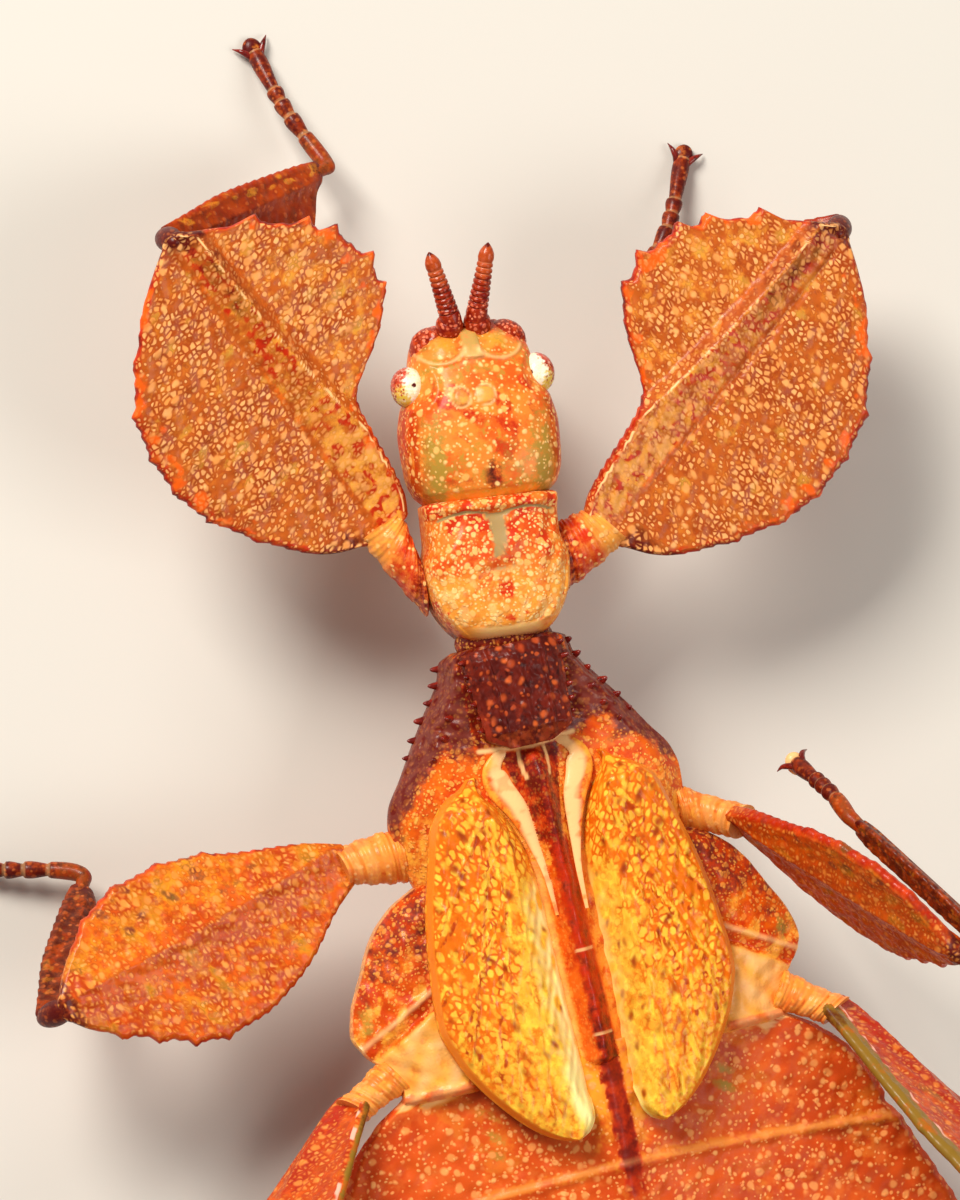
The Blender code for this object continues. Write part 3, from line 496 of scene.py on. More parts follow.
# The crest is dark maroon with round orange-red granules.
CREST = cuticle("crest_cuticle", "#500C04", "#681606", "#3C0602",
                round_dots((0.55, 0.28, 0.12), (0.3, 0.28, 0.1)), ("#DC6428", "#A83E1A"), patch_size=0.9,
                relief=0.014, roughness=0.5, coat=0.1, gold="#C86A20", rim="#8E2A12", grey="#7C3A34")
# The abdomen is leaf-like: red-orange with small round pale dots, evenly strewn.
ABDOMEN = cuticle("abdomen_cuticle", "#DA5616", "#C8440E", "#E46822",
                  round_dots((0.46, 0.33, 0.1), (0.21, 0.32, 0.12)), ("#FFB468", "#F29048"), patch_size=2.4,
                  relief=0.02, roughness=0.5, coat=0.05, dark="#7E1A0C", red="#CE3208")
# The leg blades: pale rounded cells in a red-brown net, drawn out across the blade.
BLADE_DOTS = [(0.5, 0.26, 0.1, (0.8, 1, 1))]
BLADE = cuticle("leg_blade_cuticle", "#BE5A18", "#AE480E", "#D07220", BLADE_DOTS, ("#F8B670", "#EC9448"),
                net=(0.19, (0.8, 1, 1), 0.5), patch_size=1.7, relief=0.015, coat=0.1,
                gold="#F0A038", rim="#F2600E", grey="#9A5844", red="#C02A06")
# The middle and hind blades are a brighter orange, with yellower cells.
BRIGHT_BLADE = cuticle("bright_leg_blade_cuticle", "#DC5C0C", "#CA4606", "#E87A1C", BLADE_DOTS,
                       ("#F9AA54", "#EE8A32"), net=(0.2, (0.8, 1, 1), 0.7), patch_size=1.7, relief=0.015,
                       gold="#F49A20", red="#B42604", rim="#E04A12", grey="#7E3A2A", pale="#F6B8A0",
                       green="#8C6A22")
# Leg roots, foot pads and the chin are pale and soft.
JOINT = cuticle("leg_root_cuticle", "#F09038", "#E4742A", "#FAA850", round_dots((0.3, 0.34, 0.1)),
                ("#FFCA80", "#F8AC58"), patch_size=1.0)
# Shins, feet, lip and palps are dark and red, dusted with pale grains.
SHIN = cuticle("shin_cuticle", "#B04206", "#962C04", "#C2540C", round_dots((0.26, 0.36, 0.1)),
               ("#DA7434", "#C25A20"), patch_size=1.0, grey="#5C2A10")
# The pads of the growing wings: golden, with yellow flecks along the veins and rusty pores. Their pale colour
# also carries painted highlights and painted glow.
PAD = cuticle("wing_pad_cuticle", "#E8720A", "#DC6006", "#F08A14", [(0.4, 0.3, 0.2, (1, 0.6, 1))],
              ("#FFD048", "#FBAA2C"), net=(0.24, (1, 0.7, 1), 0.4),
              pores=("#A03C06", (0.5, 0.23, 0.16, (1, 0.5, 1), 9.1)), patch_size=1.3, relief=0.02, glow=0.15,
              pale="#FFF2A0", gold="#FDD040", rim="#F08420", wall="#DA660C", red="#B23E06")
# Spines and tubercles: hard, dark and polished.
SPINE = cuticle("spine_cuticle", "#68100A", "#8A2012", "#460A06", [], (), patch_size=0.6, relief=0.01,
                roughness=0.24, coat=0.6)
# The feelers are maroon below and orange-brown toward their tips, speckled pink at the foot.
FEELER = cuticle("feeler_cuticle", "#962406", "#7A1002", "#AC380C", round_dots((0.17, 0.4, 0.1)),
                 ("#F29068", "#DC6848"), patch_size=0.6, relief=0.015, roughness=0.3, coat=0.25,
                 gold="#B4481A", pale="#F0986A")
# The eye is domed and smooth, pale cream with yellow below and pink-red specks on its outer half.
EYE = cuticle("eye_facets", "#F6EACA", "#FCF4DC", "#EEDCA8", round_dots((0.13, 0.5, 0.1)),
              ("#C24A2A", "#9A2A1A"), patch_size=0.4, relief=0.006, roughness=0.22, coat=0.6, glow=0.15,
              gold="#E8C040", red="#C8442C")


# Head

HEAD_ENDS = (-11.15, -4.6)
HEAD_WIDE = [(-11.15, 1.15), (-10.8, 1.75), (-10.3, 2.05), (-9.6, 2.2), (-8.9, 2.3), (-8.3, 2.62),
             (-7.3, 2.81), (-6.0, 2.75), (-5.3, 2.53), (-4.95, 2.2), (-4.6, 1.9)]
HEAD_TOP = [(-11.15, 6.7), (-10.6, 7.35), (-9.6, 8.0), (-8.0, 8.5), (-6.5, 8.6), (-5.3, 8.35), (-4.95, 8.05),
            (-4.6, 7.7)]
HEAD_UNDER = [(-11.15, 5.4), (-10.5, 4.9), (-9.0, 4.55), (-7.0, 4.4), (-5.3, 4.5), (-4.6, 4.8)]
EYE_PLACE = (2.3, -9.08, 7.0)
EYE_SIZE = (0.62, 0.72, 0.66)
# The face is not quite even: its middle lies this far to the left.
FACE_SHIFT = 0.12
DRAWN_OUT = np.array([1, 0.3, 1])
STREAKED = np.array([1.0, 0.35, 1.0])


def crescent(x, y, side):
    """The raised arc behind each feeler's lobe."""
    ring = np.hypot((x - side * 1.05 - FACE_SHIFT) / 0.82, (y + 10.35) / 0.62)
    return bell(ring, 1, 0.13) * step_up(y, -10.35, -10.1)


def head_shell():
    """The head's capsule, with the low arcs, lobes and bumps of its face and the dark mark near its rear."""
    rings = barrel_rings(HEAD_ENDS, HEAD_WIDE, HEAD_TOP, HEAD_UNDER, (150, 200), 2.7)
    x, y, z = np.moveaxis(rings.copy(), -1, 0)
    from_middle = np.abs(x)
    over = step_up(z, 6.4, 7.2)
    arcs = crescent(x, y, 1) + crescent(x, y, -1)
    lobes = sum(hill(x, y, (side * 0.98 + FACE_SHIFT, -10.4), (0.42, 0.3)) for side in SIDES)
    nose = band(x, 0.1, 0.24, 0.14) * band(y, -10.45, 0.55, 0.15)
    nose_rear = hill(x, y, (0.1, -9.75), (0.42, 0.26))
    off_bump = np.minimum(*(np.hypot((x - at) / 0.36, (y + 8.5) / 0.4) for at in (0.8, -0.1)))
    bumps = 1 - step_up(off_bump, 0.55, 1.0)
    bump_rims = bell(off_bump, 0.95, 0.14)
    groove = band(x, 0.03 * (y + 8), 0.02, 0.06) * step_up(y, -7.9, -7.0) * step_up(-y, 5.2, 5.9)
    socket = bell(np.hypot((from_middle - EYE_PLACE[0]) / 0.8, (y - EYE_PLACE[1]) / 0.9), 1.0, 0.16)
    rear = band(y, -5.05, 0.12, 0.12)
    lift = (0.09 * arcs + 0.13 * lobes + 0.2 * nose + 0.1 * nose_rear + 0.13 * bumps - 0.05 * groove
            + 0.08 * socket)
    rings[..., 2] += over * (lift - 0.04 * rear)

    sides_red = step_up(from_middle, 2.15, 2.6) * step_up(y, -8.6, -8.2) * step_up(z, 5.2, 6.4)
    sides_red = sides_red * patches(rings * DRAWN_OUT, 0.5, 9, -0.5, 0.3)
    front = (step_up(-y, 9.9, 10.6) * step_up(np.abs(x - FACE_SHIFT), 0.45, 1.0)
             * (1 - np.clip(lobes * 1.4, 0, 1)))
    mark = (hill(x, y, (-0.03, -5.75), (0.26, 0.5)) + 0.9 * hill(x, y, (-0.03, -5.45), (0.2, 0.2))) * over
    mark = np.clip(mark, 0, 1)
    broad = blotches(rings, 1.9, 5)
    mottle = step_up(0.6 * broad + 0.8 * blotches(rings, 0.75, 8), 0.1, 0.9)
    mottle = mottle * band(y, -7.4, 1.7, 0.5) * over * band(x, 0, 1.6, 0.5)
    streaks = 0.28 * patches(rings * STREAKED, 0.7, 6, -0.2, 1.2) * step_up(y, -8.2, -6.0)
    outer_green = 0.45 * band(from_middle, 1.95, 0.22, 0.25) * step_up(y, -8.4, -7.6)
    green = (streaks + outer_green + 0.3 * step_up(-y, 8.6, 9.2) + 0.2 * step_up(y, -8.0, -6.2)) * over
    green = green + 0.5 * nose + 0.35 * bumps
    below = 1 - step_up(z, 4.6, 6.2)
    pale = 0.55 * arcs + 0.7 * bump_rims + 0.3 * bumps + 0.35 * nose + 0.3 * nose_rear
    smooth_here = np.clip(arcs + nose + bumps + 0.8 * rear + lobes, 0, 1)
    outer = step_up(from_middle, 1.9, 2.5) * step_up(y, -8.8, -8.0)
    paint = stack(0.62 * mark ** 1.5 + 0.3 * front * step_up(broad, -0.2, 0.5), pale * over,
                  0.45 * rear + 0.6 * np.clip(lobes, 0, 1) + 0.1 + 0.7 * bumps,
                  0.85 * sides_red + 0.65 * mottle + 0.85 * front + 0.8 * mark)
    tint = stack((1 - smooth_here) * (1 - 0.4 * below), 0.2 * below, green, 0.45 * outer)
    return head_piece("head", rings, HEAD, paint, tint)


def face_shells():
    """Cheeks in front of the eyes, the feelers' sockets, the lip, and the jaws and palps under the head."""
    shells = []
    for side in SIDES:
        cheek = ball_rings((side * 1.3, -10.3, 6.56), (0.78, 0.82, 0.68), 90, 60)
        cheek[..., 2] += 0.03 * blotches(cheek, 0.3, 15)
        shells.append(head_piece("cheek", cheek, FEELER, (0, 0, 0.35, 0.2), (1.0, 0, 0, 0)))
        socket = [(side * 0.49 + 0.165, -10.95, 7.0), (side * 0.5 + 0.165, -11.3, 7.28)]
        socket = tube_rings(socket, [(0, 0.5), (0.7, 0.46), (1, 0.36)], 40, 14)
        shells.append(head_piece("socket", socket, FEELER, tint=(0.8, 0, 0, 0)))
        jaw = [(0.55, -9.9, 4.6), (0.7, -10.2, 3.8), (0.66, -10.38, 3.3), (0.32, -10.45, 3.0)]
        palp = [(0.6, -9.7, 4.6), (0.95, -10.15, 3.7), (1.1, -10.55, 3.25), (1.0, -10.8, 2.7),
                (0.85, -10.85, 2.25)]
        inner = [(0.34, -9.3, 4.6), (0.52, -9.62, 3.3), (0.5, -9.9, 2.65)]
        palp_radii = [(0, 0.27), (0.2, 0.26), (0.27, 0.2), (0.31, 0.27), (0.52, 0.29), (0.57, 0.21),
                      (0.61, 0.3), (0.85, 0.31), (1, 0.14)]
        for name, path, radii, around, count, paint, dots in (
                ("jaw", jaw, [(0, 0.5), (0.6, 0.4), (1, 0.16)], 32, 26, (0.5, 0, 0, 0.2), 0.4),
                ("palp", palp, palp_radii, 32, 60, (0.1, 0, 0.2, 0.3), 0.8),
                ("inner_palp", inner, [(0, 0.32), (0.7, 0.27), (1, 0.14)], 28, 26, (0.1, 0, 0.2, 0.3), 0.8)):
            rings = tube_rings([(side * x, y, z) for x, y, z in path], radii, around, count)
            shells.append(closed_shell(name, from_head(rings), SHIN, paint, (dots, 0, 0, 0)))
    low = np.linspace(0, 1, 26)[:, None]
    lip = ovals(np.array([[0, -10.45, 4.75]]) + low * np.array([[0, -0.42, -1.85]]),
                np.array([[0.98, 0, 0]]) * (1 - 0.42 * low**2),
                np.array([[0, 0.46, 0]]) * (1 - 0.5 * low), 60, 3)
    shells.append(closed_shell("lip", from_head(lip), SHIN, (0.15, 0, 0.1, 0.5), (0.7, 0, 0, 0)))
    chin = ball_rings((0, -9.6, 4.2), (1.0, 0.9, 0.42), 48, 24)
    shells.append(closed_shell("chin", from_head(chin), JOINT, tint=(0.6, 0.2, 0, 0)))
    return shells


# Thorax

PRONOTUM_ENDS = (-4.98, 0.0)
PRONOTUM_WIDE = [(-4.98, 2.05), (-4.94, 2.28), (-4.84, 2.42), (-4.3, 2.38), (-3.6, 2.36), (-2.5, 2.62),
                 (-1.7, 2.5), (-1.1, 2.28), (-0.6, 1.98), (-0.25, 1.66), (0.0, 1.3)]
PRONOTUM_TOP = [(-4.98, 7.75), (-4.93, 8.1), (-4.82, 8.32), (-4.64, 8.38), (-4.44, 8.24), (-4.3, 8.17),
                (-3.0, 8.35), (-2.2, 8.27), (-1.3, 8.32), (-0.7, 8.24), (-0.35, 8.08), (-0.12, 7.82),
                (0.0, 7.5)]
PRONOTUM_UNDER = [(-4.98, 5.0), (-3.0, 4.2), (0.0, 4.6)]


def pronotum_shell():
    """The shield behind the head: a collar, a T-shaped groove, a shallow cross and a pale rear rim with a
    painted sheen.
    """
    rings = barrel_rings(PRONOTUM_ENDS, PRONOTUM_WIDE, PRONOTUM_TOP, PRONOTUM_UNDER, (120, 190), 3.2)
    x, y, z = np.moveaxis(rings.copy(), -1, 0)
    from_middle = np.abs(x)
    over = step_up(z, 6.8, 7.6)
    edge = np.minimum(smooth(PRONOTUM_WIDE, y) - from_middle, 1.0)
    bar_place = -4.28 - 0.2 * np.sin(np.clip(from_middle / 2.1, 0, 1) * math.pi)
    stem_half = smooth([(-4.45, 0.42), (-4.2, 0.32), (-3.8, 0.22), (-2.8, 0.17)], y)
    stem = band(x, 0.02, stem_half, 0.07) * step_up(-y, 2.7, 2.9) * step_up(y - bar_place, -0.06, 0.0)
    groove = np.clip(stem + band(y, bar_place, 0.02, 0.06) * band(x, 0, 1.9, 0.3), 0, 1)
    cross = hill(x, y, (0.0, -2.4), (0.6, 0.13)) + hill(x, y, (0.02, -2.25), (0.18, 0.4))
    front = step_up(bar_place - y, 0.04, 0.14)
    rear_rim = step_up(y + 0.05 * x * x, -0.5, -0.36)
    pair = sum(hill(x, y, (side * 0.17 - 0.02, -1.65), (0.09, 0.42)) for side in SIDES)
    rings[..., 2] += over * (-0.05 * groove - 0.05 * cross + 0.07 * band(edge, 0.12, 0.08, 0.1)
                             + 0.04 * blotches(rings, 0.8, 9) * (1 - rear_rim) - 0.05 * pair)

    spot = hill(x, y, (0.0, -0.72), (0.2, 0.14))
    # A painted sheen: gold laid in a soft patch over the middle of the rear rim, on top of the rim's own
    # cream.
    glow = hill(x, y, (0.0, -0.75), (1.2, 0.35))
    mottle = (0.45 + 0.55 * patches(rings, 1.3, 11, 0.1, 0.7)) * step_up(-y, 2.3, 2.9)
    mottle = mottle * band(from_middle, 0.95, 0.65, 0.4) * (1 - front)
    rim_blots = front * step_up(np.sin(x * 6.1 + 1.2) + 0.5 * np.sin(x * 14.3), -0.2, 0.5)
    flank = step_up(7.4 - z, 0, 0.8)
    rear = step_up(y, -2.9, -1.9)
    pale_blots = patches(rings, 0.6, 12, 0.2, 0.9) * rear * (1 - rear_rim)
    red_blots = patches(rings, 0.4, 13, 0.9, 1.5) * rear
    side_rim = band(edge, 0.02, 0.05, 0.1) * step_up(y, -2.4, -1.4)
    rear_edge = band(y, -0.08, 0.04, 0.08)
    pale = 0.2 * groove + 0.18 * cross + 0.4 * pale_blots + 0.55 * rear_rim * band(x, 0.0, 0.7, 1.2)
    gold = (0.6 * rear + 0.4 * glow + 0.25 * step_up(from_middle, 1.2, 1.9)) * (1 - 0.5 * front)
    red = (0.85 * mottle + 0.8 * rim_blots + 0.85 * pair + 0.8 * spot + 0.5 * red_blots + 0.6 * side_rim
           + 0.3 * rear_edge)
    dotted = np.clip(1 - groove - 1.1 * rear_rim - 0.8 * cross, 0, 1) * (1 - 0.5 * flank)
    paint = stack(0.5 * flank * step_up(y, -2.0, -0.6), over * pale, gold, red)
    tint = stack(dotted, 0.95 * groove * over, 0.5 * cross * over, 0)
    return head_piece("prothorax", rings, PRONOTUM, paint, tint)


MESO_ENDS = (-3.4, 4.55)
MESO_WIDE = [(-3.4, 1.8), (-3.15, 2.3), (-2.5, 2.48), (-1.4, 3.22), (-0.6, 3.78), (0.5, 4.5), (1.5, 5.15),
             (2.2, 5.3), (3.0, 5.25), (4.1, 4.95), (4.55, 4.8)]
META_ENDS = (4.3, 11.7)
META_WIDE = [(4.3, 4.95), (4.8, 5.9), (5.7, 6.8), (7.0, 7.5), (8.0, 8.0), (8.9, 8.2), (9.6, 7.9),
             (10.3, 7.3), (11.1, 6.9), (11.7, 7.0)]
BACK_TOP = 7.3
BACK_FALL = 0.02
SIDE_HIGH = 5.6
BELLY = 3.5
BELLY_SIDE = 5.2
KEEL_TALL = 0.95
CREST_ENDS = (-3.3, 0.3)
CREST_WIDE = [(-3.3, 1.5), (-3.15, 1.8), (-1, 1.62), (-0.2, 1.55), (0.1, 1.1), (0.3, 0.7)]


def back(x, y):
    """The height of the thorax and the front of the abdomen, under the wing pads."""
    return BACK_TOP - BACK_FALL * x * x - 0.03 * np.maximum(y - 9.0, 0.0) ** 1.3


def body_top(knots):
    def top(x, y):
        shoulder = smooth([(0, 1), (0.8, 0.94), (1, 0.35)], np.minimum(np.abs(x) / smooth(knots, y), 1.0))
        rise = smooth([(-3.5, 0.35), (-1.0, 0.15), (1.0, 0.0)], y)
        keel = smooth([(0, 0), (1.5, KEEL_TALL), (60, KEEL_TALL)], y) * bell(x, 0, 0.5)
        return SIDE_HIGH + (back(x, y) + rise - SIDE_HIGH) * shoulder + keel
    return top


def body_bottom(knots):
    def bottom(x, y):
        s = np.minimum(np.abs(x) / smooth(knots, y), 1.0)
        return BELLY + (BELLY_SIDE - BELLY) * smooth([(0, 0), (0.45, 0.12), (0.8, 0.75), (1, 1)], s)
    return bottom


def stripe(x, y):
    """How strong the maroon stripe down the keel is at a place seen from above. Its sides are ragged."""
    ragged = 0.03 * blotches(np.stack([1.4 * x, y, 0 * x], -1), 0.5, 23)
    across = band(x, -0.1 - 0.008 * y + ragged, 0.3 + ragged, 0.16)
    return across * step_up(y, 3.4, 3.9) * step_up(17.2 - y, 0, 1.6)


def stripe_edge(x, y):
    """The narrow red run of colour on both sides of the stripe."""
    return band(x, -0.1 - 0.008 * y, 0.36, 0.22) * step_up(y, 3.4, 3.9)


def stripe_lines(x, y):
    """The two thin pale lines that cross the stripe."""
    return sum(band(y, at, 0.03, 0.05) for at in (7.66, 10.66)) * band(x, -0.15, 0.34, 0.1)


def thorax_slab(ends, counts, knots):
    return even_slab(*ends, counts, (0.3, 0.5), lambda y: smooth(knots, y),
                     body_top(knots), body_bottom(knots))


def mesothorax_shell():
    """The middle thorax: narrow and dark behind the pronotum, with the scutum on its raised middle."""
    rings, x, y, over = thorax_slab(MESO_ENDS, (150, 190, 60), MESO_WIDE)
    inset = smooth(MESO_WIDE, y) - np.abs(x)
    rings[..., 2] += 0.06 * (blotches(rings, 0.55, 21) * over * step_up(1.0 - y, 0, 1.5))
    neck_end = (1 - step_up(y, -3.4, -1.6)) ** 1.5
    rings[..., 2] += (6.3 - rings[..., 2]) * 0.62 * neck_end * step_up(6.3 - rings[..., 2], 0, 0.4)

    reach = y - 0.12 * np.abs(x) + 0.35 * blotches(rings, 1.4, 22) - 1.7 * (1 - step_up(inset, 0.1, 1.2))
    dark_front = 1 - step_up(reach, -1.0, 0.7)
    middle = band(np.abs(x), 0.0, 1.75, 0.3)
    scutum_half = smooth([(0, 1.05), (1.0, 0.85), (2.3, 0.6), (3.9, 0.28)], y)
    scutum = band(x, 0.03 + 0.02 * y, scutum_half, 0.15) * step_up(y, 0.25, 0.5) * step_up(4.0 - y, 0, 0.5)
    ticks = band(np.abs(x - 0.03), 0.38 + 0.1 * np.sin(y * 2), 0.04, 0.06) * band(y, 0.95, 0.45, 0.15)
    border = bell(y, 0.34 - 0.1 * np.abs(x), 0.1) * band(x, 0.1, 1.7, 0.2)
    clouds = blotches(rings, 0.9, 24)
    maroon = stripe(x, y)
    flanks = dark_front * (1 - middle)
    mottled = step_up(blotches(rings, 0.45, 25) + 0.6 * clouds, -0.4, 1.2)
    dark = (0.9 * dark_front * middle + 0.66 * scutum * (0.85 + 0.15 * clouds) + 0.3 * maroon
            + 0.8 * flanks * mottled)
    dotted = (1 - 0.9 * flanks) * (1 - 0.85 * scutum) * (1 - 0.8 * middle * dark_front) * (1 - maroon)
    paint = stack(np.clip(dark, 0, 1) * over, (0.75 * ticks + 0.9 * border + 0.6 * stripe_lines(x, y)) * over,
                  0.5 * step_up(y - 0.2 * np.abs(x), 0.4, 2.4) * over,
                  (0.35 * step_up(-y, -1.2, 0.4) + 0.25 * stripe_edge(x, y) + 0.7 * maroon) * over
                  + 0.8 * scutum)
    tint = stack(dotted * np.where(over > 0, 1.0, 0.5) * (1 - border), 0.95 * flanks + 0.3 * (1 - over), 0,
                 0.35 * band(inset, 0, 0.1, 0.25) * over * (1 - dark_front))
    return closed_shell("mesothorax", rings, THORAX, paint, tint)


def crest_top(x, y):
    sides_fall = 0.9 * np.maximum(np.abs(x) - 1.3, 0) ** 1.5
    return 8.5 - 0.12 * x * x - 0.6 * np.maximum(y + 0.3, 0) - sides_fall - 0.6 * np.maximum(-2.9 - y, 0)


def crest_shell():
    """The raised narrow block behind the pronotum."""
    rings, x, y, over = even_slab(*CREST_ENDS, (90, 120, 30), (0.4, 0.6), lambda y: smooth(CREST_WIDE, y),
                                  crest_top, lambda x, y: 6.4 + 0 * x)
    lump = np.maximum(blotches(rings, 0.5, 31), 0) + 0.6 * np.maximum(blotches(rings, 0.27, 32), 0)
    keel = band(np.abs(x), 1.0 - 0.05 * (y + 3), 0.03, 0.09)
    rings[..., 2] += over * (0.03 * lump + 0.08 * keel + 0.08 * hill(x, y, (-0.05, 0), (0.12, 9)))
    edge = np.minimum(smooth(CREST_WIDE, y) - np.abs(x), 1)
    orange = patches(rings, 0.7, 34, 0.5, 1.3) * over
    rear = step_up(y, -0.6, 0.1)
    paint = stack(0.3 * keel + 0.25 * (1 - over), 0.2 * keel * over * rear, 0.35 * rear, 0.0)
    tint = stack(0.95 * (1 - 0.5 * keel), 0, 0, 0.4 * orange + 0.5 * rear + 0.3 * band(edge, 0.12, 0.1, 0.12))
    return closed_shell("crest", rings, CREST, paint, tint)


def arm_shells():
    """The two smooth cream ridges of the scutum, which meet at the front of the keel."""
    path = [(0.8, 0.3, 7.26), (1.15, 0.45, 7.3), (1.5, 0.95, 7.3), (1.4, 1.5, 7.34), (1.0, 2.4, 7.48),
            (0.68, 3.8, 7.6), (0.52, 5.0, 7.72), (0.48, 6.3, 7.78)]
    radii = [(0, 0.12), (0.1, 0.26), (0.22, 0.48), (0.36, 0.42), (0.58, 0.22), (0.75, 0.12), (1, 0.06)]
    middle_line = [(0.4, 1.2), (1.0, 1.5), (1.5, 1.4), (2.4, 1.0), (3.8, 0.68), (6.3, 0.48)]
    shells = []
    for side, shift in ((1, 0.0), (-1, -0.12)):
        rings = tube_rings([(side * x + shift, y, z) for x, y, z in path], radii, 48, 90, 0.34)
        x, y = rings[..., 0], rings[..., 1]
        outer = step_up(side * (x - side * smooth(middle_line, y) - shift), 0.0, 0.4)
        orange = hill(x, y, (side * 1.7 + shift, 0.7), (0.5, 0.28)) + 0.6 * step_up(y, 4.4, 6.0)
        orange = np.clip(np.clip(orange, 0, 1) + 0.7 * outer, 0, 1)
        veined = 0.3 * patches(rings, 0.6, 35, 0.2, 0.9) + 0.5 * outer
        shells.append(closed_shell("scutum_arm", rings, THORAX,
                                   stack(0, 0.9 - 0.4 * orange - veined, 0.8 * orange, 0)))
    return shells


def metathorax_shell():
    """The hind thorax with its two side plates and the pale wrinkled skin that carries the hind legs, painted
    lighter on its wrinkles' crests.
    """
    rings, x, y, over = thorax_slab(META_ENDS, (110, 180, 60), META_WIDE)
    s = np.abs(x)
    ridge = to_line(s, y, (5.2, 7.9), (8.1, 9.5), 0.24)
    past = y - 8.1 - 0.58 * (s - 5.6)
    joint = step_up(past, 0.55, 0.8) * step_up(s, 4.2, 5.0)
    turned = (s - 6.5) * 0.8 - (y - 10.2) * 0.6
    wrinkles = np.sin(turned * 7.0 + 0.9 * blotches(rings, 1.6, 42)) * (0.6 + 0.4 * blotches(rings, 0.8, 45))
    rings[..., 2] += over * (0.04 * blotches(rings, 0.7, 41) + 0.13 * ridge
                             + joint * (0.022 * wrinkles + 0.16)
                             - 0.1 * bell(past, 0.5, 0.12) * step_up(s, 4.4, 5.2))
    lip = band(y, 11.5, 0.1, 0.14) * step_up(s, 4.2, 5.0)
    rings[..., 2] -= over * (0.3 * step_up(y, 11.45, 11.7) ** 2 - 0.08 * lip)

    front = 1 - step_up(y - 0.3 * (s - 5) + 0.5 * blotches(rings, 1.0, 43), 6.2, 7.4)
    clouds = patches(rings, 1.1, 44, -0.1, 0.8) * (1 - front)
    edge = band(smooth(META_WIDE, y) - s, 0, 0.03, 0.12) * (1 - joint)
    near = step_up(s, 3.9, 4.4)
    keel = stripe(x, y)
    beside = (1 - near) * step_up(s, 0.45, 0.7)
    dark = (0.35 + 0.25 * step_up(y, 8.5, 11.5)) * keel + 0.12 * front * near
    # The skin at the hind legs' roots is pale; its paleness rising with the wrinkles is a painted highlight
    # on their crests.
    pale = (joint * (0.4 + 0.18 * wrinkles) + 0.55 * ridge + 0.5 * edge + 0.6 * stripe_lines(x, y)
            + 0.35 * beside * step_up(x, 0.3, 0.6))
    gold = (0.55 * clouds + 0.8 * joint * (1 - lip)) * near + beside * (0.5 + 0.3 * step_up(x, 0, 0.4))
    red = 0.4 * (1 - joint) * (1 - clouds) * near + 0.2 * stripe_edge(x, y) + 0.75 * keel
    dotted = (1 - 0.7 * joint) * (1 - keel) * (1 - 0.8 * ridge) * np.where(over > 0, 1, 0.5)
    paint = stack(dark * over, pale * over, gold * over, red * over)
    tint = stack(dotted * (0.25 + 0.4 * near), 0.45 * front * near + 0.2 * (1 - over),
                 0.6 * hill(s, y, (7.6, 8.55), (0.35, 0.5)) * over, (0.25 * (1 - near) + 0.4 * lip) * over)
    return closed_shell("metathorax", rings, THORAX, paint, tint)


def neck_shells():
    """Dark soft skin between the head, the pronotum and the middle thorax."""
    balls = (((0.0, -4.75, 6.35), (1.9, 0.75, 1.35)), ((-0.02, 0.05, 6.4), (1.75, 0.9, 1.3)))
    return [head_piece("membrane", ball_rings(*ball, 90, 50), THORAX, (0.8, 0, 0, 0.3), (0.5, 0.2, 0, 0))
            for ball in balls]


# Wing pads

PAD_ENDS = (1.0, 14.1)
PAD_OUTER = [(1.0, 2.6), (1.3, 2.9), (1.6, 3.4), (2.3, 4.1), (3.6, 4.5), (5.5, 5.0), (6.9, 5.22), (9.2, 5.4),
             (10.6, 5.0), (11.6, 4.45), (12.8, 3.55), (13.5, 2.85), (13.9, 2.25), (14.1, 1.75)]
PAD_INNER = [(1.0, 2.0), (1.3, 2.05), (1.7, 1.9), (2.6, 1.35), (3.9, 0.9), (4.8, 0.76), (9.0, 0.7),
             (12.0, 0.62), (13.4, 0.72), (13.9, 1.0), (14.1, 1.35)]
RIGHT_PAD_INSET = 0.2
PAD_THICK = 0.5
PAD_LIFT = 0.32
# Each vein runs from a place on the pad's inner side to one on its outer side: both ends and its height.
PAD_VEINS = [((1.6, 3.0), (2.3, 13.3), 0.07), ((2.0, 2.6), (3.3, 12.4), 0.08),
             ((2.2, 2.6), (4.6, 10.6), 0.08), ((2.35, 4.0), (5.0, 8.2), 0.06),
             ((2.5, 5.6), (4.9, 10.0), 0.06), ((2.8, 7.4), (4.0, 11.4), 0.05),
             ((2.3, 2.2), (5.1, 6.6), 0.06)]


